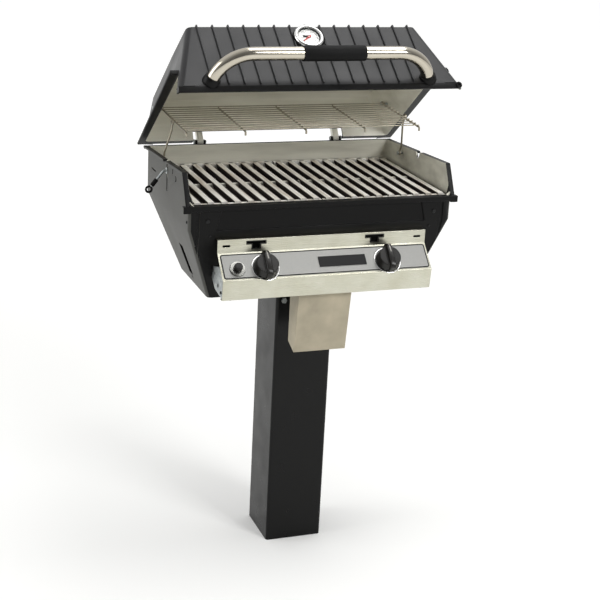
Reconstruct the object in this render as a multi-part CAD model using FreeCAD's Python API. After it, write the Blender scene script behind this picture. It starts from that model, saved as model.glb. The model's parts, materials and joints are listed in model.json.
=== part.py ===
import FreeCAD, Part
import math
import os
from FreeCAD import Vector

# Park barbecue on a square in-ground post: a gas head with a ribbed cast lid,
# a warming rack that swings with the lid, two cooking grates and a steel panel.
# Millimetres. X to the right, Y to the back, Z up. The origin is on the post's
# axis at ground level. The head is drawn from its front rim: a point of it is
# (x, distance behind the front rim, height above the front rim).

# Standing
GRATE_HEIGHT = 955.0
HEAD_SETBACK = 175.0

# Post and its head plate
POST_SIDE = 152.4
POST_WALL = 3.2
POST_LENGTH = 1219.0
POST_CORNER = 7.0
POST_SLOT = (40.0, 90.0)
POST_SLOT_DEPTH = 330.0
SADDLE_WIDTH = 240.0
SADDLE_DEPTH = 200.0
SADDLE_PLATE = 6.0
SLEEVE_WALL = 5.0
SLEEVE_LENGTH = 62.0
SLEEVE_GAP = 0.5
GAS_HOLE_R = 17.0
GAS_HOLE_DROP = 92.0
BOLT_R = 4.0
BOLT_HOLE_R = 4.2
POST_BOLT_X = 57.0
POST_BOLT_DROP = 30.0
SADDLE_BOLT_X = 92.0
SADDLE_BOLT_Y = 72.0

# Firebox casting
BOX_HALF = 337.0
BOX_DEPTH = 412.0
BOX_WALL = 5.0
BOX_FRONT_WALL = 9.0
BOX_CORNER = 12.0
RIM_KNEE = (39.0, 73.0)
RIM_BACK = 53.0
CREASE = 61.0
FLOOR_DROP = 245.0
FLOOR_HALF = 272.0
FLOOR_FRONT = 50.0
FLOOR_REAR_IN = 112.0
FLOOR_BACK = BOX_DEPTH - FLOOR_REAR_IN
RIM_LIP = 8.0
RIM_BAND = 6.0
FRONT_STRIP = (6.0, 12.0)
CORNER_TAB = (15.0, 16.0)
RECESS_TOP_HALF = 257.0
RECESS_FOOT_HALF = 268.0
RECESS_DEEP = 4.0
FLUTE_IN = 24.0
FLUTE_X = BOX_HALF - FLUTE_IN
FLUTE_WIDTH = 6.0
FLUTE_DEEP = 3.0
RIM_SCREW = (46.0, 38.0)
POST_SCREW = (54.0, 76.0)
SIDE_SCREW_DROP = 42.0
SPIT_BACK = 206.0
SPIT_NOTCH = (24.0, 12.0, 20.0)
LEVER_SLOT = (7.0, -14.0, 41.0)
SIDE_VENT_REAR_IN = (94.0, 52.0)
SIDE_VENT_UP = (6.0, 10.0)
SIDE_VENT_LONG = 30.0

# Grates and burners
GRATE_TOP = 5.0
GRATE_THICK = 15.0
GRATE_GAP = 2.0
GRATE_PITCH = 33.0
GRATE_BAR = 18.0
GRATE_FRAME = 13.0
GRATE_CLEAR = 4.0
LEDGE_WIDE = 8.0
LEDGE_THICK = 6.0
RAIL_DROP = 84.0
RAIL_THICK = 6.0
RAIL_WIDE = 24.0
RAIL_FRONT = 112.0
RAIL_REAR_IN = 104.0
RAIL_BACKS = (RAIL_FRONT, BOX_DEPTH - RAIL_REAR_IN)
BURNER_INNER = 8.0
BURNER_SIDE_GAP = 31.0
BURNER_OUTER = BOX_HALF - BURNER_SIDE_GAP
BURNER_FRONT = 60.0
BURNER_REAR_GAP = 52.0
BURNER_BACK = BOX_DEPTH - BURNER_REAR_GAP
BURNER_HIGH = 42.0
BURNER_SHEET = 2.0
TILE_THICK = 13.0
TILE_COUNT = 4
VENTURI_R = 19.0
VENTURI_WALL = 1.5
VENTURI_DROP = 160.0
VENTURI_BEND = 40.0
VENTURI_END = 190.0

# Control panel
PANEL_HALF = 268.0
PANEL_SHEET = 1.5
PANEL_TOP = 82.0
PANEL_STRIP = 9.0
PANEL_BEND = 115.0
PANEL_NOSE = (62.0, 167.0)
PANEL_LIP = (57.0, 217.0)
PANEL_RETURN = 15.0
FASCIA_HALF = 258.0
FASCIA_THICK = 1.0
FASCIA_INSET = 8.0
CONTROL_ALONG = 0.60
KNOB_X = 157.0
KNOB_R = 31.0
KNOB_HIGH = 20.0
KNOB_GRIP = (15.0, 68.0, 30.0)
KNOB_GAP = 3.0
STEM_R = 4.0
STEM_CLEAR = 0.05
COLLAR_R = 9.0
VALVE_R = 12.0
VALVE_LONG = 44.0
VALVE_FLANGE = (16.0, 3.0)
CONTROL_HOLE_R = 10.0
MANIFOLD_R = 10.5
MANIFOLD_HALF = 192.0
MANIFOLD_SET = 54.0
INLET_R = 8.0
INLET_LONG = 62.0
IGNITER_X = -227.0
IGNITER_BEZEL = (19.0, 11.6, 4.0)
IGNITER_CAP_R = 11.0
IGNITER_CAP_HIGH = 13.0
IGNITER_TRAVEL = 5.0
BRACKET_SHEET = 2.0
BRACKET_TOP = 156.0
BRACKET_FOOT = 185.0
BRACKET_LOW = (5.0, 206.0)
BRACKET_SHOULDER = (29.0, 142.0)
BRACKET_FOLD_IN = 2.0
PANEL_SCREW_IN = 22.0
COVER_HALF = 68.0
COVER_SHEET = 1.2
COVER_FRONT_TOP = (41.0, 205.0)
COVER_FRONT_FOOT = (18.0, 377.0)
COVER_BACK = 24.0
COVER_BACK_FOOT = 361.0

# Lid casting, drawn closed
LID_GAP = 2.0
LID_WALL = 5.0
LID_FLANK_OUT = 11.0
LID_FLANK_HALF = BOX_HALF + LID_FLANK_OUT
LID_FLANK_AT = 40.0
LID_TOP_IN = 51.0
LID_TOP_HALF = LID_FLANK_HALF - LID_TOP_IN
LID_PANEL_FOOT = (-9.0, 19.0)
LID_PANEL_HEAD = (56.0, 198.0)
LID_CROWN = (213.0, 193.0)
LID_REAR_OUT = (13.0, 18.0)
LID_REAR_UP = (171.0, 55.0)
LID_REAR_HEAD = (BOX_DEPTH + LID_REAR_OUT[0], LID_REAR_UP[0])
LID_REAR_FOOT = (BOX_DEPTH + LID_REAR_OUT[1], LID_REAR_UP[1])
LID_CORNER = 14.0
LID_FLANGE_OUT = 8.0
LID_FLANGE_HALF = LID_FLANK_HALF + LID_FLANGE_OUT
LID_FLANGE = 6.0
LID_LIP_OUT = 10.0
LID_LIP_WALL = 6.0
RIB_COUNT = 15
RIB_PITCH = 39.0
RIB_WIDE = 4.0
RIB_HIGH = 4.5
VENT_HALF = 209.0
VENT_TOP = 80.0
LID_OPEN = 34.2

# Hinges
HINGE_BEHIND = 22.6
HINGE_BACK = BOX_DEPTH + HINGE_BEHIND
HINGE_UP = 54.9
HINGE_X = 190.0
HINGE_LUG = 16.0
HINGE_EAR = 5.0
HINGE_GAP = 0.8
HINGE_BARREL_R = 8.0
PIN_R = 4.0
RUNNING_FIT = 0.05

# Lid handle
HANDLE_R = 16.0
HANDLE_WALL = 1.6
HANDLE_FOOT_X = 274.0
HANDLE_FOOT_ALONG = 14.0
HANDLE_BAR_ALONG = 30.0
HANDLE_OUT = 70.0
HANDLE_BEND = 52.0
SOCKET_R = 19.0
SOCKET_LONG = 18.0
GRIP_R = 18.5
GRIP_LONG = 157.0
GRIP_X = 15.0

# Thermometer
GAUGE_ALONG = 150.0
GAUGE_R = 38.0
GAUGE_HIGH = 12.0
GAUGE_WALL = 3.0
GAUGE_FACE_R = 34.0
GAUGE_STEM_R = 4.5
GAUGE_STEM = 45.0
NEEDLE_LONG = 25.0

# Warming rack and its link to the lid
RACK_REAR_IN = 16.0
RACK_BACK = BOX_DEPTH - RACK_REAR_IN
RACK_UP = 153.6
RACK_DEEP = 246.0
RACK_TILT = 3.05
RACK_WIRE_R = 2.5
RACK_THIN_R = 1.8
RACK_WIRES = 12
RACK_CROSS_X = 157.0
RACK_HOOK = 9.0
RACK_FAR_WIRE = 12.0
RACK_PIN_R = 3.0
RACK_EYE_R = 6.5
LINK_ALONG = 138.0
LINK_EYE_R = 7.5
LINK_PIN_R = 2.3
LINK_SLACK = 1.4
ARM_REAR_IN = 112.0
ARM_FOOT_UP = 40.0
ARM_FOOT = (BOX_DEPTH - ARM_REAR_IN, ARM_FOOT_UP)
ARM_SIDE_GAP = 9.5
ARM_LEAN = 11.0
RACK_SIDE_GAP = 6.5
LINK_TAIL = 4.5
ARM_FOOT_X = BOX_HALF - BOX_WALL - ARM_SIDE_GAP
ARM_TOP_X = ARM_FOOT_X - ARM_LEAN
RACK_HALF = ARM_TOP_X - RACK_SIDE_GAP
LINK_REACH = ARM_TOP_X + LINK_TAIL

# Side lever
LEVER_R = 3.0
LEVER_UP = 37.0
LEVER_WASHER_R = 8.0
LEVER_KNEE_OUT = 9.0
LEVER_END_OUT = 37.0
LEVER_END_UP = 2.0
LEVER_RING_R = 8.5
LEVER_GRIP_R = 5.5

HEAD = Vector(0, -HEAD_SETBACK, GRATE_HEIGHT)
X_AXIS = Vector(1, 0, 0)
Y_AXIS = Vector(0, 1, 0)
Z_AXIS = Vector(0, 0, 1)
FAR = 900.0

# Flats that stand for a round: on wire and small fasteners, on plain holes, on tube, on
# corners and on bends. A pin that sits fast touches the middle of each flat of its hole.
WIRE_SIDES = 8
ROUND_SIDES = 12
TUBE_SIDES = 20
CORNER_STEPS = 3
BEND_STEPS = 5
ROUND_FLAT = math.cos(math.pi / ROUND_SIDES)


def block(x0, x1, y0, y1, z0, z1):
    """A box between two corners, in any order of each pair."""
    low = Vector(min(x0, x1), min(y0, y1), min(z0, z1))
    return Part.makeBox(abs(x1 - x0), abs(y1 - y0), abs(z1 - z0), low)


def face_of(points):
    """A flat face through a closed list of points."""
    return Part.Face(Part.makePolygon(list(points) + [points[0]]))


def side_prism(profile, x0, x1):
    """A (back, up) outline pushed along X from x0 to x1."""
    low, high = min(x0, x1), max(x0, x1)
    return face_of([Vector(low, y, z) for y, z in profile]).extrude(Vector(high - low, 0, 0))


def front_prism(profile, y0, y1):
    """An (x, up) outline pushed along Y from y0 to y1."""
    low, high = min(y0, y1), max(y0, y1)
    return face_of([Vector(x, low, z) for x, z in profile]).extrude(Vector(0, high - low, 0))


def rod(start, axis, radius, length):
    """A cylinder from a point along an axis."""
    return Part.makeCylinder(radius, length, start, axis)


def ring_points(centre, axis, radius, sides, facing=None):
    """The corners of a regular polygon across an axis, with a flat that faces a direction."""
    way = Vector(axis).normalize()
    across = X_AXIS if abs(way.x) < 0.9 else Z_AXIS
    first = Vector(facing or way.cross(across)).normalize()
    second = way.cross(first)
    angles = [2.0 * math.pi * (i + 0.5) / sides for i in range(sides)]
    return [centre + first * (radius * math.cos(a)) + second * (radius * math.sin(a)) for a in angles]


def bar(start, axis, radius, length, sides=WIRE_SIDES, facing=None):
    """A straight many-sided bar along an axis, for wire, shanks and plain holes."""
    way = Vector(axis).normalize()
    return face_of(ring_points(start, way, radius, sides, facing)).extrude(way * length)


def taper(start, axis, radius, end_radius, length, sides=WIRE_SIDES):
    """A many-sided bar that narrows along an axis."""
    way = Vector(axis).normalize()
    end = ring_points(start + way * length, way, end_radius, sides)
    return skinned([ring_points(start, way, radius, sides), end])


def skinned(rings):
    """A closed solid over a row of polygons that have the same number of corners."""
    faces = [face_of(rings[0]), face_of(rings[-1])]
    for low, high in zip(rings, rings[1:]):
        for i in range(len(low)):
            faces.append(face_of([low[i - 1], low[i], high[i], high[i - 1]]))
    solid = Part.Solid(Part.Shell(faces))
    if solid.Volume < 0:
        solid.reverse()
    return solid


def tube(start, axis, outer, inner, length, sides=WIRE_SIDES):
    """A many-sided bar with a hole through it."""
    way = Vector(axis).normalize()
    return bar(start, way, outer, length, sides).cut(bar(start - way, way, inner, length + 2.0, sides))


def hexagon(centre, axis, across, height):
    """A hexagonal prism, for bolt heads and nuts."""
    radius = across / math.sqrt(3.0)
    ring = [Vector(radius * math.cos(math.radians(a)), radius * math.sin(math.radians(a)), 0)
            for a in range(0, 360, 60)]
    shape = face_of(ring).extrude(Vector(0, 0, height))
    return placed(shape, centre, axis)


def placed(shape, origin, axis, twist=0.0):
    """A shape drawn round +Z at the origin, moved so that +Z is axis and the origin is origin."""
    turn = FreeCAD.Rotation(Z_AXIS, axis)
    spin = FreeCAD.Rotation(Z_AXIS, twist)
    moved = shape.copy()
    moved.Placement = FreeCAD.Placement(origin, turn.multiply(spin)).multiply(moved.Placement)
    return moved


def rounded_ring(x_half, y0, y1, z, radius):
    """The points of a rectangle at height z with eased corners."""
    corners = [(-1, y0), (1, y0), (1, y1), (-1, y1)]
    return eased([Vector(sign * x_half, y, z) for sign, y in corners], radius, CORNER_STEPS, True)


def turned(profile, sides):
    """A closed (radius, height) outline carried round +Z in flats, for bezels and rings."""
    angles = [2.0 * math.pi * i / sides for i in range(sides)]
    rings = [[Vector(r * math.cos(a), r * math.sin(a), z) for a in angles] for r, z in profile]
    faces = []
    for low, high in zip(rings, rings[1:] + rings[:1]):
        for i in range(sides):
            faces.append(face_of([low[i - 1], low[i], high[i], high[i - 1]]))
    solid = Part.Solid(Part.Shell(faces))
    if solid.Volume < 0:
        solid.reverse()
    return solid


def eased(points, radius, steps, closed):
    """A line through points with each corner eased by a row of short flats."""
    count = len(points)
    inner = range(count) if closed else range(1, count - 1)
    line = [] if closed else [points[0]]
    for i in inner:
        here = points[i]
        before = (points[i - 1] - here).normalize()
        after = (points[(i + 1) % count] - here).normalize()
        half = before.getAngle(after) / 2.0
        centre = here + (before + after).normalize() * (radius / math.sin(half))
        start = here + before * (radius / math.tan(half)) - centre
        turn = FreeCAD.Rotation(start, here + after * (radius / math.tan(half)) - centre)
        for k in range(steps + 1):
            share = FreeCAD.Rotation(turn.Axis, math.degrees(turn.Angle) * k / steps)
            line.append(centre + share.multVec(start))
    if not closed:
        line.append(points[-1])
    return line


def rounded_wire(points, radius):
    """A closed wire through points with eased corners."""
    line = eased(points, radius, CORNER_STEPS, True)
    return Part.makePolygon(line + [line[0]])


def bent_rod(points, radius, bend, sides=WIRE_SIDES, steps=BEND_STEPS):
    """Wire or tube stock bent along points: the section is carried to each mitre in turn."""
    line = eased(points, bend, steps, False)
    ways = [(b - a).normalize() for a, b in zip(line, line[1:])]
    rings = [ring_points(line[0], ways[0], radius, sides)]
    for i in range(1, len(line)):
        way = ways[i - 1]
        normal = (way + ways[i]).normalize() if i < len(ways) else way
        rings.append([p + way * ((line[i] - p).dot(normal) / way.dot(normal)) for p in rings[-1]])
    return skinned(rings)


def sheet_outline(points, thick):
    """A closed outline of folded sheet: points on the outside, thick measured to their left."""
    inner = []
    count = len(points)
    for i in range(count):
        here = Vector(points[i][0], points[i][1], 0)
        normals = []
        for j in (i - 1, i):
            if 0 <= j < count - 1:
                run = Vector(points[j + 1][0] - points[j][0], points[j + 1][1] - points[j][1], 0).normalize()
                normals.append(Vector(-run.y, run.x, 0))
        middle = normals[0] if len(normals) == 1 else (normals[0] + normals[1]).normalize()
        reach = thick / middle.dot(normals[0])
        inner.append((here.x + middle.x * reach, here.y + middle.y * reach))
    return list(points) + inner[::-1]


def fused(shapes):
    """One solid from overlapping shapes."""
    first, *rest = shapes
    return first.multiFuse(rest).removeSplitter() if rest else first


def both_sides(shape):
    """A shape and its mirror image across the middle plane."""
    return [shape, shape.mirror(Vector(0, 0, 0), X_AXIS)]


def write(name, shapes, base=HEAD):
    """Moves shapes to the part's frame and writes them as one STEP file."""
    items = shapes if isinstance(shapes, list) else [shapes]
    solids = [solid for item in items for solid in item.Solids]
    moved = Part.makeCompound(solids) if len(solids) > 1 else solids[0]
    moved = moved.copy()
    moved.translate(base)
    moved.exportStep(os.path.join("parts", name + ".step"))
    box = moved.BoundBox
    print(f"{name:24s} {len(solids)} solids  x {box.XMin:7.1f} {box.XMax:7.1f}  y {box.YMin:7.1f}"
          f" {box.YMax:7.1f}  z {box.ZMin:7.1f} {box.ZMax:7.1f}  valid {moved.isValid()}")


def opened(shape):
    """A piece of the closed lid, turned to its open rest."""
    turned = shape.copy()
    turned.rotate(Vector(0, HINGE_BACK, HINGE_UP), X_AXIS, -LID_OPEN)
    return turned


def write_lid(name, shapes):
    """Writes pieces that were drawn on the closed lid."""
    items = shapes if isinstance(shapes, list) else [shapes]
    write(name, [opened(item) for item in items])


# Post and saddle
FLOOR_Z = -FLOOR_DROP
POST_TOP = FLOOR_Z - SADDLE_PLATE
POST_BOLT_Z = POST_TOP - POST_BOLT_DROP
POST_HALF = POST_SIDE / 2.0
SLEEVE_HALF = POST_HALF - POST_WALL - SLEEVE_GAP


def square_column(half, corner, z0, z1):
    """A square bar round the post's axis, with round corners."""
    outline = rounded_ring(half, HEAD_SETBACK - half, HEAD_SETBACK + half, z0, corner)
    return face_of(outline).extrude(Vector(0, 0, z1 - z0))


def post_bolt_places():
    """Where the four bolts enter the post: start point and inward direction."""
    for side in (-1, 1):
        for x in (-POST_BOLT_X, POST_BOLT_X):
            yield Vector(x, HEAD_SETBACK + side * POST_HALF, POST_BOLT_Z), Vector(0, -side, 0)


def make_post():
    """The in-ground tube, with the gas pipe's slot below ground and bolt holes at the top."""
    foot = POST_TOP - POST_LENGTH
    shape = square_column(POST_HALF, POST_CORNER, foot, POST_TOP)
    shape = shape.cut(square_column(POST_HALF - POST_WALL, POST_CORNER - POST_WALL, foot - 1, POST_TOP + 1))
    wide, tall = POST_SLOT
    middle = -GRATE_HEIGHT - POST_SLOT_DEPTH
    shape = shape.cut(block(-wide / 2, wide / 2, HEAD_SETBACK + POST_HALF - POST_WALL - 5,
                            HEAD_SETBACK + POST_HALF + 5, middle - tall / 2, middle + tall / 2))
    for start, inward in post_bolt_places():
        shape = shape.cut(bar(start - inward * 5, inward, BOLT_HOLE_R, POST_WALL + 15))
    front = Vector(0, HEAD_SETBACK - POST_HALF - 5, POST_TOP - GAS_HOLE_DROP)
    return shape.cut(bar(front, Y_AXIS, GAS_HOLE_R, POST_WALL + 15, 16))


def saddle_bolt_places():
    """Plan positions of the bolts that hold the firebox on the saddle."""
    for x in (-SADDLE_BOLT_X, SADDLE_BOLT_X):
        for y in (-SADDLE_BOLT_Y, SADDLE_BOLT_Y):
            yield x, HEAD_SETBACK + y


def make_saddle():
    """The plate under the firebox, with a sleeve that sits inside the post."""
    plate = block(-SADDLE_WIDTH / 2, SADDLE_WIDTH / 2, HEAD_SETBACK - SADDLE_DEPTH / 2,
                  HEAD_SETBACK + SADDLE_DEPTH / 2, POST_TOP, FLOOR_Z)
    sleeve = square_column(SLEEVE_HALF, POST_CORNER - POST_WALL, POST_TOP - SLEEVE_LENGTH, POST_TOP + 1)
    sleeve = sleeve.cut(square_column(SLEEVE_HALF - SLEEVE_WALL, 2.0, POST_TOP - SLEEVE_LENGTH - 1,
                                      POST_TOP + 2))
    shape = plate.fuse(sleeve).removeSplitter()
    for x, y in saddle_bolt_places():
        shape = shape.cut(bar(Vector(x, y, POST_TOP - 1), Z_AXIS, BOLT_HOLE_R, SADDLE_PLATE + 2))
    for start, inward in post_bolt_places():
        shape = shape.cut(bar(start, inward, BOLT_HOLE_R, POST_WALL + SLEEVE_WALL + 5))
    return shape


def make_post_bolts():
    """Four hexagon bolts through post and sleeve, each with a nut inside."""
    shapes = []
    grip = POST_WALL + SLEEVE_GAP + SLEEVE_WALL
    for start, inward in post_bolt_places():
        shank = bar(start, inward, BOLT_R, grip + 10, 6)
        head = hexagon(start - inward * 5.5, inward, 13.0, 5.5)
        nut = hexagon(start + inward * grip, inward, 13.0, 6.5)
        shapes.append(fused([shank, head, nut]))
    return shapes


def make_saddle_bolts():
    """Four round-headed bolts down through the firebox floor, with nuts under the plate."""
    shapes = []
    inside = FLOOR_Z + BOX_WALL
    for x, y in saddle_bolt_places():
        shank = bar(Vector(x, y, POST_TOP - 10), Z_AXIS, BOLT_R, inside - POST_TOP + 10, 6)
        head = taper(Vector(x, y, inside), Z_AXIS, 9.0, 5.0, 4.5)
        nut = hexagon(Vector(x, y, POST_TOP - 6.5), Z_AXIS, 13.0, 6.5)
        shapes.append(fused([shank, head, nut]))
    return shapes


# Firebox
CREASE_Z = -CREASE
SLOPE_RUN = FLOOR_DROP - CREASE


def front_wall_back(z):
    """How far behind the front rim the firebox's outer front wall is at height z."""
    return 0.0 if z >= CREASE_Z else FLOOR_FRONT * (CREASE_Z - z) / SLOPE_RUN


def side_wall_x(z):
    """The firebox's outer half width at height z."""
    return BOX_HALF if z >= CREASE_Z else BOX_HALF - (BOX_HALF - FLOOR_HALF) * (CREASE_Z - z) / SLOPE_RUN


def rim_height(back):
    """Height of the firebox's side rim, from its knee to its back corner."""
    knee_back, knee_up = RIM_KNEE
    return knee_up + (RIM_BACK - knee_up) * (back - knee_back) / (BOX_DEPTH - knee_back)


def firebox_hollow():
    """The space inside the casting, with straight upper walls and tapered lower ones."""
    top_half = BOX_HALF - BOX_WALL
    radius = BOX_CORNER - BOX_WALL
    mouth = rounded_ring(top_half, BOX_FRONT_WALL, BOX_DEPTH - BOX_WALL, CREASE_Z, radius)
    foot = rounded_ring(FLOOR_HALF - BOX_WALL, FLOOR_FRONT + BOX_WALL, FLOOR_BACK - BOX_WALL,
                        FLOOR_Z + BOX_WALL, radius)
    return face_of(mouth).extrude(Vector(0, 0, 200)).fuse(skinned([mouth, foot]))


def rim_profile(overhang):
    """Outline of the band along a side rim, from the front corner to the back."""
    knee_back, knee_up = RIM_KNEE
    end = BOX_DEPTH + overhang
    end_up = rim_height(end)
    return [(0.0, 0.0), (knee_back, knee_up), (end, end_up), (end, end_up - RIM_BAND),
            (knee_back + 2.6, knee_up - RIM_BAND), (6.0, -2.0)]


def slot_cutter(back, low, high, wide):
    """An upright slot with round ends, through a side wall at the left."""
    radius = wide / 2.0
    start, stop = Vector(-FAR, back, low + radius), Vector(-FAR, back, high - radius)
    length = FAR - 200
    ends = [bar(start, X_AXIS, radius, length), bar(stop, X_AXIS, radius, length)]
    half = radius * math.cos(math.pi / WIRE_SIDES)
    middle = block(-FAR, -FAR + length, back - half, back + half, low + radius, high - radius)
    return fused(ends + [middle])


def crescent_cutter(back, up, radius):
    """A crescent-shaped hole through the left side wall."""
    length = FAR - 200
    disc = bar(Vector(-FAR, back, up), X_AXIS, radius, length, 12)
    return disc.cut(bar(Vector(-FAR, back + radius * 0.7, up), X_AXIS, radius, length, 12))


def make_firebox():
    """The bottom casting with its rim, corner posts, ledges and wall openings."""
    knee_back, knee_up = RIM_KNEE
    outline = [(0, CREASE_Z), (0, 0), (knee_back, knee_up), (BOX_DEPTH, RIM_BACK), (BOX_DEPTH, CREASE_Z)]
    upper = side_prism(outline, -BOX_HALF, BOX_HALF)
    crease = rounded_ring(BOX_HALF, 0, BOX_DEPTH, CREASE_Z, BOX_CORNER)
    foot = rounded_ring(FLOOR_HALF, FLOOR_FRONT, FLOOR_BACK, FLOOR_Z, BOX_CORNER)
    upper = upper.common(face_of(crease).extrude(Vector(0, 0, 200)))
    shape = upper.fuse(skinned([crease, foot])).removeSplitter()
    bands = both_sides(side_prism(rim_profile(RIM_LIP), BOX_HALF - 2, BOX_HALF + RIM_LIP))
    back_up = rim_height(BOX_DEPTH + RIM_LIP)
    rear_band = block(-BOX_HALF - RIM_LIP, BOX_HALF + RIM_LIP, BOX_DEPTH - 2, BOX_DEPTH + RIM_LIP,
                      back_up - RIM_BAND, back_up)
    strip_out, strip_tall = FRONT_STRIP
    strip = block(-BOX_HALF, BOX_HALF, -strip_out, 2, -strip_tall, 0)
    tab_out, tab_tall = CORNER_TAB
    tabs = both_sides(block(BOX_HALF - 4, BOX_HALF + tab_out, -strip_out, 8, -tab_tall, 0))
    shape = fused([shape, rear_band, strip] + bands + tabs)
    shape = shape.cut(firebox_hollow())
    recess = [(-RECESS_TOP_HALF, -strip_tall - 1), (RECESS_TOP_HALF, -strip_tall - 1),
              (RECESS_FOOT_HALF, CREASE_Z), (-RECESS_FOOT_HALF, CREASE_Z)]
    shape = shape.cut(front_prism(recess, -strip_out - 1, RECESS_DEEP))
    flute_foot = CREASE_Z - 110.0
    flute_back = front_wall_back(flute_foot)
    flute = [(-9, -strip_tall - 4), (FLUTE_DEEP, -strip_tall - 4), (FLUTE_DEEP, CREASE_Z),
             (flute_back + FLUTE_DEEP, flute_foot), (flute_back - 9, flute_foot), (-9, CREASE_Z)]
    for side in (-1, 1):
        middle = side * FLUTE_X
        shape = shape.cut(side_prism(flute, middle - FLUTE_WIDTH / 2, middle + FLUTE_WIDTH / 2))
    shape = shape.fuse(firebox_ledges())
    return firebox_openings(shape.removeSplitter())


def firebox_ledges():
    """Cast ledges inside that carry the grates, and lugs that carry the burner rails."""
    inner = BOX_HALF - BOX_WALL
    rear = BOX_DEPTH - BOX_WALL
    top = GRATE_TOP - GRATE_THICK
    low = top - LEDGE_THICK
    pieces = both_sides(block(inner - LEDGE_WIDE, inner + 1, BOX_FRONT_WALL - 1, rear + 1, low, top))
    pieces.append(block(-inner, inner, BOX_FRONT_WALL - 1, BOX_FRONT_WALL + LEDGE_WIDE, low, top))
    pieces.append(block(-inner, inner, rear - LEDGE_WIDE, rear + 1, low, top))
    for back in RAIL_BACKS:
        lug_top = -RAIL_DROP - RAIL_THICK
        lug = block(side_wall_x(lug_top) - BOX_WALL - 16, side_wall_x(lug_top - 14) - 1,
                    back - RAIL_WIDE / 2 - 2, back + RAIL_WIDE / 2 + 2, lug_top - 14, lug_top)
        pieces += both_sides(lug)
    return fused(pieces)


def spit_notch(side):
    """The notch in a side rim that a spit's rod lies in."""
    wide, foot, deep = SPIT_NOTCH
    rim = rim_height(SPIT_BACK)
    low = rim - deep
    outline = [(SPIT_BACK + across, up) for across, up in
               ((-wide / 2, rim + 12), (wide / 2, rim + 12), (wide / 2, rim), (foot / 2, low + foot / 2),
                (-foot / 2, low + foot / 2), (-wide / 2, rim))]
    start = side * (BOX_HALF - 20)
    stop = side * (BOX_HALF + 20)
    groove = bar(Vector(min(start, stop), SPIT_BACK, low + foot / 2), X_AXIS, foot / 2, abs(stop - start), 12)
    return side_prism(outline, start, stop).fuse(groove)


def firebox_openings(shape):
    """Cuts the wall openings: spit notches, lever slot, vents, mixer tube and bolt holes."""
    wide, low, high = LEVER_SLOT
    cutters = [spit_notch(-1), spit_notch(1), slot_cutter(SPIT_BACK, low, high, wide),
               slot_cutter(154.0, 38.0, 53.0, 4.0), crescent_cutter(127.0, 35.0, 7.0)]
    vent_start, vent_stop = (BOX_DEPTH - inset for inset in SIDE_VENT_REAR_IN)
    cutters.append(block(-FAR, -BOX_HALF + SIDE_VENT_LONG, vent_start, vent_stop, *SIDE_VENT_UP))
    cutters.append(block(-BOX_HALF + BOX_WALL, -BOX_HALF + 30, SPIT_BACK - LEVER_WASHER_R - 2,
                         SPIT_BACK + LEVER_WASHER_R + 2, -LEDGE_THICK - 20, GRATE_TOP - GRATE_THICK + 1))
    slant = [(167, -146), (175, -146), (160, -212), (152, -212)]
    cutters.append(side_prism(slant, -BOX_HALF - 10, -FLOOR_HALF + 20))
    cutters.append(bar(Vector(-FAR, 160, -224), X_AXIS, 4.0, FAR - 200))
    for side in (-1, 1):
        cutters.append(bar(Vector(side * KNOB_X, front_wall_back(-VENTURI_DROP) - 20, -VENTURI_DROP), Y_AXIS,
                           VENTURI_R + 0.5, 50, ROUND_SIDES))
    for x, y in saddle_bolt_places():
        cutters.append(bar(Vector(x, y, FLOOR_Z - 1), Z_AXIS, BOLT_HOLE_R, BOX_WALL + 2))
    for cutter in cutters:
        shape = shape.cut(cutter)
    return shape


def front_screw_places():
    """Pan-head screws on the corner posts: centre and outward direction."""
    for side in (-1, 1):
        inset, drop = RIM_SCREW
        yield Vector(side * (BOX_HALF - inset), 0, -drop), Vector(0, -1, 0), 5.0
        inset, drop = POST_SCREW
        outward = Vector(0, -SLOPE_RUN, -FLOOR_FRONT)
        yield Vector(side * (BOX_HALF - inset), front_wall_back(-drop), -drop), outward, 3.0
        yield Vector(side * BOX_HALF, BOX_CORNER + 5.0, -SIDE_SCREW_DROP), Vector(side, 0, 0), 3.6


def make_firebox_screws():
    """Screw heads on the corner posts and the front edge of each side."""
    shapes = []
    for centre, outward, radius in front_screw_places():
        way = Vector(outward).normalize()
        rings = [ring_points(centre + way * (radius * up), way, radius * wide, WIRE_SIDES)
                 for up, wide in ((0.0, 1.0), (0.2, 1.0), (0.65, 0.5))]
        shapes.append(skinned(rings))
    return shapes


# Grates and burners
def make_grate(side):
    """One cooking grate: a frame, flat-topped bars from front to back and a cross rib."""
    inner_edge = GRATE_GAP / 2.0
    outer_edge = BOX_HALF - BOX_WALL - GRATE_CLEAR
    bars = int((outer_edge - inner_edge - GRATE_BAR) // GRATE_PITCH) + 1
    low, high = GRATE_TOP - GRATE_THICK, GRATE_TOP
    front, rear = BOX_FRONT_WALL + GRATE_CLEAR, BOX_DEPTH - BOX_WALL - GRATE_CLEAR
    shapes = [block(inner_edge, outer_edge, front, front + GRATE_FRAME, low, high),
              block(inner_edge, outer_edge, rear - GRATE_FRAME, rear, low, high)]
    margin = (outer_edge - inner_edge - GRATE_PITCH * (bars - 1) - GRATE_BAR) / 2.0
    for index in range(bars):
        left = inner_edge + margin + GRATE_PITCH * index
        crown = [(left, high), (left + GRATE_BAR, high), (left + GRATE_BAR - 4, low), (left + 4, low)]
        shapes.append(front_prism(crown, front + 2, rear - 2))
    middle = (front + rear) / 2.0
    shapes.append(block(inner_edge + 4, outer_edge - 4, middle - 6, middle + 6, low, high - 6))
    grate = fused(shapes)
    return grate if side > 0 else grate.mirror(Vector(0, 0, 0), X_AXIS)


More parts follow.
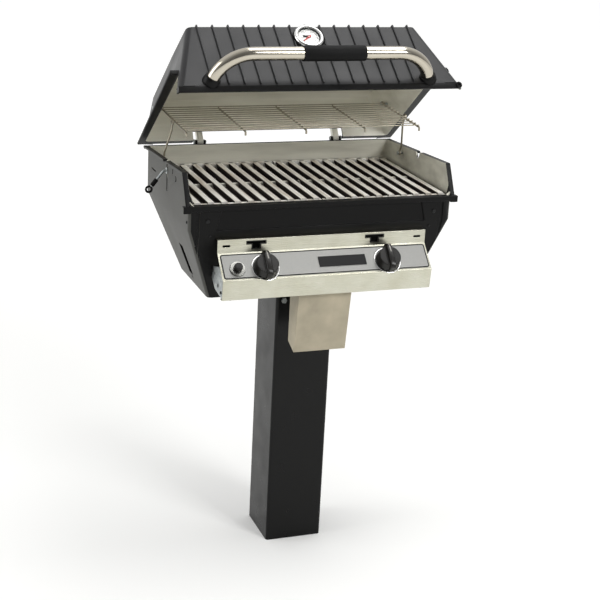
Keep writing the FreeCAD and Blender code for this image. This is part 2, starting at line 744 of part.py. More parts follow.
def make_rails():
    """Two flat bars across the firebox that carry the burners."""
    shapes = []
    half = side_wall_x(-RAIL_DROP - RAIL_THICK) - BOX_WALL - 1.0
    for back in RAIL_BACKS:
        shapes.append(block(-half, half, back - RAIL_WIDE / 2, back + RAIL_WIDE / 2,
                            -RAIL_DROP - RAIL_THICK, -RAIL_DROP))
    return shapes


def make_burner(side):
    """A radiant burner's pressed tray: open at the top, with a mixer hole in its floor."""
    low, high = -RAIL_DROP, -RAIL_DROP + BURNER_HIGH
    shape = block(BURNER_INNER, BURNER_OUTER, BURNER_FRONT, BURNER_BACK, low, high)
    shape = shape.cut(block(BURNER_INNER + BURNER_SHEET, BURNER_OUTER - BURNER_SHEET,
                            BURNER_FRONT + BURNER_SHEET, BURNER_BACK - BURNER_SHEET,
                            low + BURNER_SHEET, high + 1))
    ledge_top = high - TILE_THICK
    frame = block(BURNER_INNER + 1, BURNER_OUTER - 1, BURNER_FRONT + 1, BURNER_BACK - 1,
                  ledge_top - BURNER_SHEET, ledge_top)
    frame = frame.cut(block(BURNER_INNER + 12, BURNER_OUTER - 12, BURNER_FRONT + 12, BURNER_BACK - 12,
                            ledge_top - BURNER_SHEET - 1, ledge_top + 1))
    shape = shape.fuse(frame).removeSplitter()
    shape = shape.cut(bar(Vector(KNOB_X, VENTURI_END, low - 1), Z_AXIS, VENTURI_R + 0.2, BURNER_SHEET + 2,
                          ROUND_SIDES))
    return shape if side > 0 else shape.mirror(Vector(0, 0, 0), X_AXIS)


def make_tiles(side):
    """Ceramic tiles laid side by side in a burner tray."""
    high = -RAIL_DROP + BURNER_HIGH
    inner, outer = BURNER_INNER + BURNER_SHEET + 0.5, BURNER_OUTER - BURNER_SHEET - 0.5
    width = (outer - inner) / TILE_COUNT
    tiles = []
    for index in range(TILE_COUNT):
        tile = block(inner + width * index + 0.4, inner + width * (index + 1) - 0.4,
                     BURNER_FRONT + BURNER_SHEET + 0.5, BURNER_BACK - BURNER_SHEET - 0.5,
                     high - TILE_THICK, high - 1.0)
        tiles.append(tile if side > 0 else tile.mirror(Vector(0, 0, 0), X_AXIS))
    return tiles


def make_venturi(side):
    """The mixer tube from behind the panel through the front wall and up into a burner."""
    x = side * KNOB_X
    mouth = front_wall_back(-VENTURI_DROP) - 14.0
    route = [Vector(x, mouth, -VENTURI_DROP), Vector(x, VENTURI_END, -VENTURI_DROP),
             Vector(x, VENTURI_END, -RAIL_DROP + BURNER_SHEET)]
    outside = bent_rod(route, VENTURI_R, VENTURI_BEND, ROUND_SIDES, 3)
    inner = [route[0] - Y_AXIS, route[1], route[2] + Z_AXIS]
    return outside.cut(bent_rod(inner, VENTURI_R - VENTURI_WALL, VENTURI_BEND, ROUND_SIDES, 3))


def make_electrodes():
    """A ceramic spark electrode on the front of each burner tray, with its bent tip."""
    shapes = []
    top = -RAIL_DROP + BURNER_HIGH
    for side in (-1, 1):
        x = side * KNOB_X
        post_y = BURNER_FRONT - 5.2
        ceramic = bar(Vector(x, post_y, top - 34), Z_AXIS, 3.6, 38, 6)
        clip = block(x - 8, x + 8, BURNER_FRONT - 1.5, BURNER_FRONT, top - 26, top - 12)
        band = bar(Vector(x, post_y, top - 22), Z_AXIS, 4.8, 6, 6)
        bend = Vector(x, post_y, top + 12)
        tip = bent_rod([bend - Z_AXIS * 10, bend, bend + Vector(0, 14, -3)], 1.2, 3.0, 5, 2)
        shapes.append(fused([ceramic, clip, band, tip]))
    return shapes


# Control panel
STRIP_Y = -PANEL_STRIP
NOSE = Vector(0, -PANEL_NOSE[0], -PANEL_NOSE[1])
BEND = Vector(0, STRIP_Y, -PANEL_BEND)
SLOPE = (NOSE - BEND).normalize()
PANEL_OUT = Vector(0, SLOPE.z, -SLOPE.y)
FACE_LONG = (NOSE - BEND).Length
CONTROL = BEND + (NOSE - BEND) * CONTROL_ALONG


def panel_profile():
    """The folded panel's outside line, from the top flange to the return under the lip."""
    back = front_wall_back(-PANEL_TOP)
    lip_y, lip_z = -PANEL_LIP[0], -PANEL_LIP[1]
    return [(back, -PANEL_TOP), (STRIP_Y, -PANEL_TOP), (STRIP_Y, -PANEL_BEND), (NOSE.y, NOSE.z),
            (lip_y, lip_z), (lip_y + PANEL_RETURN, lip_z)]


def control_point(x, out=0.0):
    """A point on the panel's sloped face at a control, or out from it."""
    return Vector(x, CONTROL.y, CONTROL.z) + PANEL_OUT * out


def control_holes(shape):
    """Cuts the knobs' and the igniter's holes through a sheet on the sloped face."""
    for x, radius in ((-KNOB_X, CONTROL_HOLE_R), (KNOB_X, CONTROL_HOLE_R), (IGNITER_X, IGNITER_BEZEL[1])):
        shape = shape.cut(bar(control_point(x, 10), PANEL_OUT * -1, radius, 20, ROUND_SIDES))
    return shape


def make_panel():
    """The folded stainless panel with its air slots and control holes."""
    shape = side_prism(sheet_outline(panel_profile(), PANEL_SHEET), -PANEL_HALF, PANEL_HALF)
    for x in (-172.0, 132.0):
        shape = shape.cut(block(x - 23, x + 23, STRIP_Y - 5, STRIP_Y + 5, -PANEL_TOP - 12, -PANEL_TOP - 7))
        shape = shape.cut(block(x - 9, x + 9, STRIP_Y - 5, STRIP_Y + 5, -PANEL_TOP - 24, -PANEL_TOP - 11))
    for x in (-246.0, 246.0):
        slot = [Vector(x + dx, STRIP_Y - 5, -PANEL_TOP + dz) for dx, dz in
                ((-9.6, -18.6), (9.6, -18.6), (9.6, -13.4), (-9.6, -13.4))]
        shape = shape.cut(Part.Face(rounded_wire(slot, 2.5)).extrude(Vector(0, 10, 0)))
    return control_holes(shape)


def make_fascia():
    """The plain plate on the panel's sloped face, with holes for the controls."""
    start = BEND + SLOPE * FASCIA_INSET
    stop = NOSE - SLOPE * (FASCIA_INSET - 1.0)
    corners = [Vector(-FASCIA_HALF, start.y, start.z), Vector(FASCIA_HALF, start.y, start.z),
               Vector(FASCIA_HALF, stop.y, stop.z), Vector(-FASCIA_HALF, stop.y, stop.z)]
    shape = Part.Face(rounded_wire(corners, 5.0)).extrude(PANEL_OUT * FASCIA_THICK)
    return control_holes(shape)


def make_panel_bracket(side):
    """The galvanised plate at one end of the panel, back to the firebox's front wall."""
    outline = [(front_wall_back(-BRACKET_TOP), -BRACKET_TOP), (-BRACKET_SHOULDER[0], -BRACKET_SHOULDER[1]),
               (NOSE.y + 4.5, NOSE.z), (-PANEL_LIP[0] + 3.5, -PANEL_LIP[1] + 3.0),
               (BRACKET_LOW[0], -BRACKET_LOW[1]), (front_wall_back(-BRACKET_FOOT), -BRACKET_FOOT)]
    x0 = side * (PANEL_HALF - 0.5)
    shape = side_prism(outline, x0, x0 - side * BRACKET_SHEET)
    high, low = -BRACKET_TOP - BRACKET_FOLD_IN, -BRACKET_FOOT + BRACKET_FOLD_IN
    fold = [(front_wall_back(high) - BRACKET_SHEET, high), (front_wall_back(high), high),
            (front_wall_back(low), low), (front_wall_back(low) - BRACKET_SHEET, low)]
    shape = shape.fuse(side_prism(fold, x0 - side * 16, x0 - side * 0.5)).removeSplitter()
    for back, up, radius in ((10.0, -168.0, 4.5), (-20.0, -190.0, 6.0)):
        shape = shape.cut(bar(Vector(x0 - side * 5 - 10, back, up), X_AXIS, radius, 20, 12))
    return shape


def make_panel_screws():
    """Screws through the brackets, the lip and the cover's flange."""
    shapes = []
    for side in (-1, 1):
        for back, up in ((22.0, -166.0), (-46.0, -200.0)):
            head = taper(Vector(side * (PANEL_HALF - 0.5), back, up), Vector(side, 0, 0), 4.0, 2.6, 2.6)
            shapes.append(head)
        centre = Vector(side * (PANEL_HALF - PANEL_SCREW_IN), -PANEL_LIP[0] + 7.0, -PANEL_LIP[1])
        shapes.append(taper(centre, Vector(0, 0, -1), 3.6, 2.4, 2.4))
    return shapes


def make_valve(side):
    """A brass gas valve behind the panel: body, saddle on the manifold and jet to the mixer."""
    x = side * KNOB_X
    inward = PANEL_OUT * -1
    flange_r, flange_thick = VALVE_FLANGE
    flange = bar(control_point(x, -PANEL_SHEET), inward, flange_r, flange_thick, 12)
    body = bar(control_point(x, -PANEL_SHEET), inward, VALVE_R, VALVE_LONG, 12)
    core = control_point(x, -PANEL_SHEET - 20.0)
    jet_start = Vector(x, core.y, -VENTURI_DROP)
    jet_end = front_wall_back(-VENTURI_DROP) - 10.0
    jet = bar(jet_start, Y_AXIS, 5.5, jet_end - core.y, 6)
    shape = fused([flange, body, jet])
    return shape.cut(bar(control_point(x, 5), inward, (STEM_R + STEM_CLEAR) / ROUND_FLAT, 32.0, ROUND_SIDES))


def manifold_centre(x):
    """A point on the manifold pipe's axis."""
    return control_point(x, -MANIFOLD_SET)


def make_manifold():
    """The gas pipe behind the panel, capped at both ends, with a branch down at the middle."""
    pipe = bar(manifold_centre(-MANIFOLD_HALF), X_AXIS, MANIFOLD_R, 2 * MANIFOLD_HALF, 12)
    caps = [hexagon(manifold_centre(-MANIFOLD_HALF - 4), X_AXIS, 26.0, 14.0),
            hexagon(manifold_centre(MANIFOLD_HALF - 10), X_AXIS, 26.0, 14.0)]
    branch = bar(manifold_centre(0), Vector(0, 0, -1), MANIFOLD_R - 1, 26, 12)
    shape = fused([pipe, branch] + caps)
    for side in (-1, 1):
        seat = bar(control_point(side * KNOB_X, 0), PANEL_OUT * -1, VALVE_R, PANEL_SHEET + VALVE_LONG, 12)
        shape = shape.cut(seat)
    return shape


def make_inlet():
    """The flare fitting under the manifold's branch, where the supply line screws on."""
    top = manifold_centre(0) + Vector(0, 0, -26)
    down = Vector(0, 0, -1)
    nut = hexagon(top, down, 24.0, 12.0)
    nipple = rod(top + down * 11.0, down, INLET_R, INLET_LONG - 25.0)
    shape = fused([nut, nipple])
    return shape.cut(bar(top - down, down, INLET_R - 3.0, INLET_LONG))


def make_collar(side):
    """The spring collar round a valve's stem, which moves in when the knob is pushed."""
    x = side * KNOB_X
    start = control_point(x, FASCIA_THICK + 0.4)
    shape = bar(start, PANEL_OUT, COLLAR_R, 2.4, TUBE_SIDES)
    return shape.cut(rod(start - PANEL_OUT, PANEL_OUT, STEM_R + STEM_CLEAR, 5))


def make_stem(side):
    """A valve's stem, from inside the valve out into the knob."""
    return rod(control_point(side * KNOB_X, -19.0), PANEL_OUT, STEM_R, 19.0 + FASCIA_THICK + KNOB_GAP + 12.5)


def knob_crown(lift=0.0):
    """The finger bar's side outline: (along, height) points, highest at its middle."""
    _, long_, tall = KNOB_GRIP
    half = long_ / 2.0
    right = [(half, tall - 9.0), (half - 4.0, tall - 4.5 + lift), (half - 12.0, tall - 1.2 + lift)]
    left = [(-along, up) for along, up in right[::-1]]
    return [(-half, 0.0), (half, 0.0)] + right + [(0.0, tall + lift)] + left


def make_knob(side):
    """A round moulded knob with a raised finger bar that points at the dial."""
    height = KNOB_HIGH
    skirt = taper(Vector(0, 0, 0), Z_AXIS, KNOB_R, KNOB_R - 4.0, height, 32)
    half = KNOB_GRIP[0] / 2.0
    grip = side_prism(knob_crown(), -half, half)
    shape = skirt.fuse(grip)
    edges = [e for e in grip.Edges if abs(e.CenterOfMass.x) > half - 0.1 and e.CenterOfMass.z > height + 0.5]
    for edge in edges:
        shape = shape.cut(edge_bevel(edge, half))
    shape = shape.removeSplitter()
    shape = shape.cut(bar(Vector(0, 0, -1), Z_AXIS, (STEM_R + 0.02) / ROUND_FLAT, 14.0, ROUND_SIDES))
    shape = shape.cut(bar(Vector(0, 0, -0.2), Z_AXIS, COLLAR_R + 1.0, 1.2, TUBE_SIDES))
    return to_panel(shape, side * KNOB_X, FASCIA_THICK + KNOB_GAP)


def edge_bevel(edge, half, size=2.0):
    """A three-cornered bar that takes the sharp edge off one side of the finger bar."""
    first, last = edge.Vertexes[0].Point, edge.Vertexes[-1].Point
    way = (last - first).normalize()
    side = 1.0 if first.x > 0 else -1.0
    out = way.cross(X_AXIS).normalize()
    if out.dot(Vector(0, first.y, first.z - KNOB_HIGH / 2.0)) < 0:
        out = out * -1
    start = first - way * 3.0
    across = Vector(side, 0, 0)
    corners = [start + across * 2.0 + out * 2.0, start - across * size + out * 2.0, start - across * size,
               start - out * size, start + across * 2.0 - out * size]
    return face_of(corners).extrude(way * ((last - first).Length + 6.0))


def make_knob_marker(side):
    """The pale line let into a knob's finger bar."""
    long_ = KNOB_GRIP[1]
    line = side_prism(knob_crown(0.4), -1.3, 1.3).cut(side_prism(knob_crown(), -2.0, 2.0))
    line = line.common(block(-2, 2, 7.0, long_ / 2 - 4.5, 0, FAR))
    return to_panel(line, side * KNOB_X, FASCIA_THICK + KNOB_GAP)


def to_panel(shape, x, out):
    """Places a shape drawn round +Z, with +Y as its top, on the sloped face."""
    up_slope = SLOPE * -1
    across = up_slope.cross(PANEL_OUT)
    turn = FreeCAD.Rotation(across, up_slope, PANEL_OUT, "ZYX")
    moved = shape.copy()
    moved.Placement = FreeCAD.Placement(control_point(x, out), turn).multiply(moved.Placement)
    return moved


def make_igniter_body():
    """The igniter's chrome ring on the fascia and its barrel behind the panel."""
    outer, inner, thick = IGNITER_BEZEL
    ring = bar(control_point(IGNITER_X, FASCIA_THICK), PANEL_OUT, outer, thick, 28)
    barrel = bar(control_point(IGNITER_X, -32), PANEL_OUT, inner - 0.2, 33 + FASCIA_THICK, ROUND_SIDES)
    shape = fused([ring, barrel])
    bore = (IGNITER_CAP_R - 1.5) / math.cos(math.pi / TUBE_SIDES)
    return shape.cut(bar(control_point(IGNITER_X, -20), PANEL_OUT, bore, 60, TUBE_SIDES))


def make_igniter_button():
    """The igniter's domed push button."""
    radius = IGNITER_CAP_R - 1.5 - RUNNING_FIT
    base = FASCIA_THICK + IGNITER_BEZEL[2]
    shank = rod(control_point(IGNITER_X, -14.0), PANEL_OUT, radius, 14.0 + base + IGNITER_TRAVEL + 0.6)
    cap = taper(control_point(IGNITER_X, base + IGNITER_TRAVEL + 0.5), PANEL_OUT, IGNITER_CAP_R,
                IGNITER_CAP_R - 2.0, IGNITER_CAP_HIGH - IGNITER_TRAVEL, TUBE_SIDES)
    return shank.fuse(cap).removeSplitter()


def make_cover():
    """The folded cover over the gas inlet: a front and two flanks, open at the back and foot."""
    top_y, top_z = -COVER_FRONT_TOP[0], -COVER_FRONT_TOP[1]
    foot_y, foot_z = -COVER_FRONT_FOOT[0], -COVER_FRONT_FOOT[1]
    outer = [(top_y, top_z), (COVER_BACK, top_z), (COVER_BACK, -COVER_BACK_FOOT), (foot_y, foot_z)]
    inner = [(top_y + COVER_SHEET, top_z + 5), (COVER_BACK + 5, top_z + 5), (COVER_BACK + 5, foot_z - 20),
             (foot_y + COVER_SHEET, foot_z - 20), (foot_y + COVER_SHEET, foot_z)]
    shape = side_prism(outer, -COVER_HALF, COVER_HALF)
    shape = shape.cut(side_prism(inner, -COVER_HALF + COVER_SHEET, COVER_HALF - COVER_SHEET))
    flange_top = -PANEL_LIP[1] + PANEL_SHEET
    flange = block(-COVER_HALF + 8, COVER_HALF - 8, -PANEL_LIP[0] + 3.0, top_y + COVER_SHEET + 1.2,
                   flange_top, flange_top + COVER_SHEET)
    return shape.fuse(flange).removeSplitter()


# Hinges
def mirrored_hinge(shape):
    """A hinge piece drawn at +HINGE_X, on both sides."""
    return both_sides(shape)


def make_hinge_brackets():
    """On the firebox's back: a base and two ears at each hinge."""
    half = HINGE_LUG / 2.0 + HINGE_GAP
    outer = half + HINGE_EAR
    start = BOX_DEPTH
    under = rim_height(BOX_DEPTH + RIM_LIP) - RIM_BAND - 0.2
    base = block(HINGE_X - outer, HINGE_X + outer, start, start + 5.0, 8.0, under)
    top = HINGE_UP + HINGE_BARREL_R * 0.6
    ear = [(start, 10.0), (start + 5.0, 10.0), (HINGE_BACK + HINGE_BARREL_R * 0.9, 44.0),
           (HINGE_BACK + HINGE_BARREL_R, HINGE_UP), (HINGE_BACK + HINGE_BARREL_R * 0.7, top),
           (HINGE_BACK - HINGE_BARREL_R * 0.7, top), (HINGE_BACK - HINGE_BARREL_R, HINGE_UP),
           (start + RIM_LIP + 1.0, under), (start, under)]
    pieces = [base]
    for low, high in ((-outer, -half), (half, outer)):
        pieces.append(side_prism(ear, HINGE_X + low, HINGE_X + high))
    shape = fused(pieces)
    bore = bar(Vector(HINGE_X - 40, HINGE_BACK, HINGE_UP), X_AXIS, PIN_R / ROUND_FLAT, 80, ROUND_SIDES)
    return mirrored_hinge(shape.cut(bore))


def make_hinge_pins():
    """A headed pin through each hinge."""
    reach = HINGE_LUG / 2.0 + HINGE_GAP + HINGE_EAR
    pin = rod(Vector(HINGE_X - reach - 3, HINGE_BACK, HINGE_UP), X_AXIS, PIN_R, 2 * reach + 3)
    head = bar(Vector(HINGE_X + reach, HINGE_BACK, HINGE_UP), X_AXIS, PIN_R + 2.5, 3.0)
    return mirrored_hinge(fused([pin, head]))


# Lid
FLANK_SLOPE = (LID_FLANK_HALF - LID_TOP_HALF) / (LID_PANEL_HEAD[1] - LID_FLANK_AT)
PANEL_FOOT = Vector(0, LID_PANEL_FOOT[0], LID_PANEL_FOOT[1])
PANEL_HEAD = Vector(0, LID_PANEL_HEAD[0], LID_PANEL_HEAD[1])
PANEL_UP = (PANEL_HEAD - PANEL_FOOT).normalize()
LID_OUT = Vector(0, -PANEL_UP.z, PANEL_UP.y)


def lid_point(x, along, out=0.0):
    """A point on the closed lid's front panel: along it from its foot, and out from it."""
    return Vector(x, 0, 0) + PANEL_FOOT + PANEL_UP * along + LID_OUT * out


def flank_x(z):
    """The closed lid's outer half width at height z."""
    return LID_FLANK_HALF - FLANK_SLOPE * (z - LID_FLANK_AT)


def panel_back(z):
    """The closed lid's outer front face at height z."""
    share = (z - LID_PANEL_FOOT[1]) / (LID_PANEL_HEAD[1] - LID_PANEL_FOOT[1])
    return LID_PANEL_FOOT[0] + share * (LID_PANEL_HEAD[0] - LID_PANEL_FOOT[0])


def rear_back(z):
    """The closed lid's outer back face at height z."""
    share = (z - LID_REAR_FOOT[1]) / (LID_REAR_HEAD[1] - LID_REAR_FOOT[1])
    return LID_REAR_FOOT[0] + share * (LID_REAR_HEAD[0] - LID_REAR_FOOT[0])


def lid_body(inset):
    """The lid's tapered block with its sloped crown, or its hollow when inset."""
    low, high = -20.0, 230.0
    radius = max(LID_CORNER - inset, 3.0)
    shape = skinned([rounded_ring(flank_x(z) - inset, panel_back(z) + inset, rear_back(z) - inset, z, radius)
                     for z in (low, high)])
    crown = [(-FAR, LID_PANEL_HEAD[1] - inset), (LID_PANEL_HEAD[0], LID_PANEL_HEAD[1] - inset),
             (LID_CROWN[0], LID_CROWN[1] - inset), (LID_REAR_HEAD[0], LID_REAR_HEAD[1] - inset),
             (FAR, LID_REAR_HEAD[1] - inset - 40), (FAR, FAR), (-FAR, FAR)]
    return shape.cut(side_prism(crown, -FAR, FAR))


def lid_rim_line():
    """The closed lid's rim, from the lip to the back, above the firebox's rim."""
    knee_back, knee_up = RIM_KNEE
    end = LID_REAR_FOOT[0] + 11.0
    return [(1.0, LID_GAP), (knee_back + 1.0, knee_up + LID_GAP), (end, rim_height(end) + LID_GAP)]


def lid_ribs():
    """The ribs up the front panel, over its top edge and along the crown."""
    foot = lid_point(0, 18.0)
    sunk = -2.0
    line = [foot, PANEL_HEAD, Vector(0, *LID_CROWN), Vector(0, LID_REAR_HEAD[0] - 3, LID_REAR_HEAD[1])]
    outside = [(foot + LID_OUT * RIB_HIGH), PANEL_HEAD + LID_OUT * RIB_HIGH * 0.7 + Z_AXIS * RIB_HIGH * 0.8,
               line[2] + Z_AXIS * RIB_HIGH, line[3] + Z_AXIS * RIB_HIGH]
    inside = [foot + LID_OUT * sunk, PANEL_HEAD + Vector(0, 2.4, -2.4), line[2] + Z_AXIS * sunk,
              line[3] + Z_AXIS * sunk]
    profile = [(p.y, p.z) for p in outside + inside[::-1]]
    middle = (RIB_COUNT - 1) / 2.0
    ribs = []
    for index in range(RIB_COUNT):
        x = (index - middle) * RIB_PITCH
        ribs.append(side_prism(profile, x - RIB_WIDE / 2, x + RIB_WIDE / 2))
    shape = Part.makeCompound(ribs)
    shape = shape.cut(bar(lid_point(0, GAUGE_ALONG), LID_OUT, GAUGE_R + 2.0, 30, TUBE_SIDES))
    for x in (-HANDLE_FOOT_X, HANDLE_FOOT_X):
        clear = bar(lid_point(x, HANDLE_FOOT_ALONG, -5), HANDLE_WAY, SOCKET_R + 4.0, 40, TUBE_SIDES)
        shape = shape.cut(clear)
    return shape


def make_lid():
    """The lid casting: hollow, flanged along its rim, ribbed in front, vented at the back."""
    lip_front = -LID_LIP_OUT
    lip_top = LID_PANEL_FOOT[1]
    rim = lid_rim_line()
    ahead, low, high = lip_front - 12.0, LID_GAP - 9.0, lip_top - 1.5
    flange = [(ahead, low), (rim[0][0], low)] + rim[1:]
    flange += [(rim[2][0], rim[2][1] + LID_FLANGE), (rim[1][0] + 2.6, rim[1][1] + LID_FLANGE),
               (rim[0][0] + 10.0, high), (ahead, high)]
    side_band = side_prism(flange, LID_FLANGE_HALF - 40, LID_FLANGE_HALF)
    rear_band = block(-LID_FLANGE_HALF + 2, LID_FLANGE_HALF - 2, rear_back(rim[2][1]) - 4, rim[2][0],
                      rim[2][1] + 0.5, rim[2][1] + LID_FLANGE - 0.5)
    shape = lid_body(0.0).multiFuse(both_sides(side_band)).fuse(rear_band)
    shape = shape.cut(block(-FAR, FAR, -FAR, lip_front, -FAR, lip_top))
    shape = shape.fuse(lid_ribs()).removeSplitter()
    hollow = lid_body(LID_WALL).cut(block(-FAR, FAR, -FAR, lip_front + LID_LIP_WALL, -FAR, lip_top + 3.0))
    shape = shape.cut(hollow)
    below = [(-FAR, LID_GAP)] + rim + [(FAR, rim[2][1]), (FAR, -FAR), (-FAR, -FAR)]
    shape = shape.cut(side_prism(below, -FAR, FAR))
    shape = shape.cut(block(-VENT_HALF, VENT_HALF, rear_back(VENT_TOP) - LID_WALL - 5, FAR, 0, VENT_TOP))
    for x in (-HANDLE_FOOT_X, HANDLE_FOOT_X):
        shape = shape.cut(bar(lid_point(x, HANDLE_FOOT_ALONG, 20), LID_OUT * -1, 4.2, 60))
    shape = shape.cut(bar(lid_point(0, GAUGE_ALONG, 20), LID_OUT * -1, GAUGE_STEM_R + 0.5, 60))
    pivot = closed_pivot()
    start = Vector(-FAR, pivot.y, pivot.z)
    return shape.cut(bar(start, X_AXIS, RACK_PIN_R / ROUND_FLAT, 2 * FAR, ROUND_SIDES))


def make_lid_lugs():
    """The two arms on the lid's back that end in the hinge eyes."""
    x0, x1 = HINGE_X - HINGE_LUG / 2, HINGE_X + HINGE_LUG / 2
    eye = bar(Vector(x0, HINGE_BACK, HINGE_UP), X_AXIS, HINGE_BARREL_R, HINGE_LUG, TUBE_SIDES)
    wall_low, wall_high = rear_back(VENT_TOP), rear_back(VENT_TOP + 26)
    arm = [(HINGE_BACK - HINGE_BARREL_R, HINGE_UP), (HINGE_BACK + HINGE_BARREL_R, HINGE_UP),
           (HINGE_BACK + HINGE_BARREL_R, VENT_TOP + 8), (wall_high, VENT_TOP + 26), (wall_low, VENT_TOP),
           (HINGE_BACK - HINGE_BARREL_R, VENT_TOP - 2)]
    shape = fused([eye, side_prism(arm, x0, x1)])
    bore = rod(Vector(x0 - 5, HINGE_BACK, HINGE_UP), X_AXIS, PIN_R + RUNNING_FIT, HINGE_LUG + 10)
    return mirrored_hinge(shape.cut(bore))


# Handle
HANDLE_RISE = PANEL_UP * (HANDLE_BAR_ALONG - HANDLE_FOOT_ALONG) + LID_OUT * HANDLE_OUT
HANDLE_WAY = Vector(HANDLE_RISE).normalize()
HANDLE_SIDES = 16
HANDLE_SEAT = (HANDLE_R + 0.1) / math.cos(math.pi / HANDLE_SIDES)


def handle_point(x, rise):
    """A point of the handle's slanted plane: rise from the panel towards the bar."""
    return lid_point(x, HANDLE_FOOT_ALONG) + HANDLE_WAY * rise


def make_handle_tube():
    """The bent stainless tube across the lid."""
    rise = HANDLE_RISE.Length
    start = 6.0
    route = [handle_point(-HANDLE_FOOT_X, start), handle_point(-HANDLE_FOOT_X, rise),
             handle_point(HANDLE_FOOT_X, rise), handle_point(HANDLE_FOOT_X, start)]
    return bent_rod(route, HANDLE_R, HANDLE_BEND, HANDLE_SIDES)


def make_handle_grip():
    """The black sleeve on the handle's bar."""
    start = handle_point(GRIP_X - GRIP_LONG / 2, HANDLE_RISE.Length)
    rings = [ring_points(start + X_AXIS * along, X_AXIS, radius, HANDLE_SIDES) for along, radius in
             ((0.0, GRIP_R - 1.5), (1.5, GRIP_R), (GRIP_LONG - 1.5, GRIP_R), (GRIP_LONG, GRIP_R - 1.5))]
    return skinned(rings).cut(bar(start - X_AXIS * 5, X_AXIS, HANDLE_SEAT, GRIP_LONG + 10, HANDLE_SIDES))


def make_handle_sockets():
    """The black cups that hold the tube's ends on the lid."""
    shapes = []
    behind = face_of([lid_point(-FAR, -FAR), lid_point(FAR, -FAR), lid_point(FAR, FAR), lid_point(-FAR, FAR)])
    behind = behind.extrude(LID_OUT * -100)
    for side in (-1, 1):
        cup = taper(handle_point(side * HANDLE_FOOT_X, -12.0), HANDLE_WAY, SOCKET_R + 2.0, SOCKET_R,
                    SOCKET_LONG + 12.0, HANDLE_SIDES)
        cup = cup.cut(behind)
        seat = bar(handle_point(side * HANDLE_FOOT_X, 6.0), HANDLE_WAY, HANDLE_SEAT, 40, HANDLE_SIDES)
        shapes.append(cup.cut(seat))
    return shapes


def make_handle_screws():
    """Screws from inside the lid into the handle's cups."""
    shapes = []
    for side in (-1, 1):
        start = lid_point(side * HANDLE_FOOT_X, HANDLE_FOOT_ALONG, -LID_WALL * 1.01)
        shank = bar(start - LID_OUT, LID_OUT, 4.0, LID_WALL + 1.0)
        head = hexagon(start - LID_OUT * 5.0, LID_OUT, 13.0, 5.0)
        shapes.append(fused([shank, head]))
    return shapes


# Thermometer
def to_gauge(shape, twist=0.0):
    """Places a shape drawn round +Z on the lid's panel at the thermometer."""
    turn = FreeCAD.Rotation(X_AXIS, PANEL_UP, LID_OUT, "ZYX")
    spin = FreeCAD.Rotation(Z_AXIS, twist)
    moved = shape.copy()
    seat = FreeCAD.Placement(lid_point(0, GAUGE_ALONG), turn.multiply(spin))
    moved.Placement = seat.multiply(moved.Placement)
    return moved


def make_gauge_bezel():
    """The chrome case: a cup with a rolled front edge and a hole for the stem."""
    inner = GAUGE_R - GAUGE_WALL
    profile = [(GAUGE_STEM_R + 0.3, 0.05), (GAUGE_R, 0.05), (GAUGE_R, GAUGE_HIGH - 3),
               (GAUGE_R - 2.6, GAUGE_HIGH), (GAUGE_FACE_R - 1.5, GAUGE_HIGH - 2), (inner, GAUGE_HIGH - 2),
               (inner, 1.6), (GAUGE_STEM_R + 0.3, 1.6)]
    return to_gauge(turned(profile, 24))


def make_gauge_dial():
    """The white dial plate with its centre post."""
    plate = bar(Vector(0, 0, 3.2), Z_AXIS, GAUGE_R - GAUGE_WALL - 0.5, 1.2, 28)
    spacer = bar(Vector(0, 0, 1.6), Z_AXIS, 10.0, 1.7)
    post = bar(Vector(0, 0, 4.0), Z_AXIS, 1.2, 3.4)
    return to_gauge(fused([plate, spacer, post]))


def make_gauge_glass():
    """The clear window under the bezel's edge."""
    radius = GAUGE_R - GAUGE_WALL - 0.5
    return to_gauge(bar(Vector(0, 0, GAUGE_HIGH - 3.7), Z_AXIS, radius, 1.6, 28))


def make_gauge_stem():
    """The probe inside the lid, with the nut that clamps the case."""
    probe = bar(Vector(0, 0, -GAUGE_STEM), Z_AXIS, GAUGE_STEM_R, GAUGE_STEM + 1.5, 12)
    nut = hexagon(Vector(0, 0, -LID_WALL - 6.3), Z_AXIS, 19.0, 6.0)
    return to_gauge(fused([probe, nut]))


def make_gauge_needle():
    """The pointer, drawn towards cold at the lower left."""
    hub = bar(Vector(0, 0, 5.2), Z_AXIS, 3.0, 1.4, ROUND_SIDES)
    outline = ((-1.0, -7.0), (1.0, -7.0), (0.4, NEEDLE_LONG), (-0.4, NEEDLE_LONG))
    arrow = [Vector(x, y, 5.5) for x, y in outline]
    blade = face_of(arrow).extrude(Vector(0, 0, 0.8))
    shape = fused([hub, blade])
    bore = (1.2 + RUNNING_FIT) / math.cos(math.pi / WIRE_SIDES)
    shape = shape.cut(bar(Vector(0, 0, 3), Z_AXIS, bore, 5))
    return to_gauge(shape, 128.0)


# Warming rack
TILT = math.radians(RACK_TILT)
RACK_WAY = Vector(0, -math.cos(TILT), -math.sin(TILT))
RACK_TOP = Vector(0, -math.sin(TILT), math.cos(TILT))
RACK_PIVOT = Vector(0, RACK_BACK, RACK_UP)
LINK = RACK_PIVOT + RACK_WAY * LINK_ALONG
RACK_BORE = (RACK_PIN_R + RUNNING_FIT) / ROUND_FLAT


def closed_pivot():
    """The rack's pivot as it lies on the closed lid."""
    turn = FreeCAD.Rotation(X_AXIS, LID_OPEN)
    hinge = Vector(0, HINGE_BACK, HINGE_UP)
    return hinge + turn.multVec(RACK_PIVOT - hinge)


def rack_point(x, along, rise=0.0):
    """A point of the rack: along it from its pivot, and above it."""
    return Vector(x, 0, 0) + RACK_PIVOT + RACK_WAY * along + RACK_TOP * rise


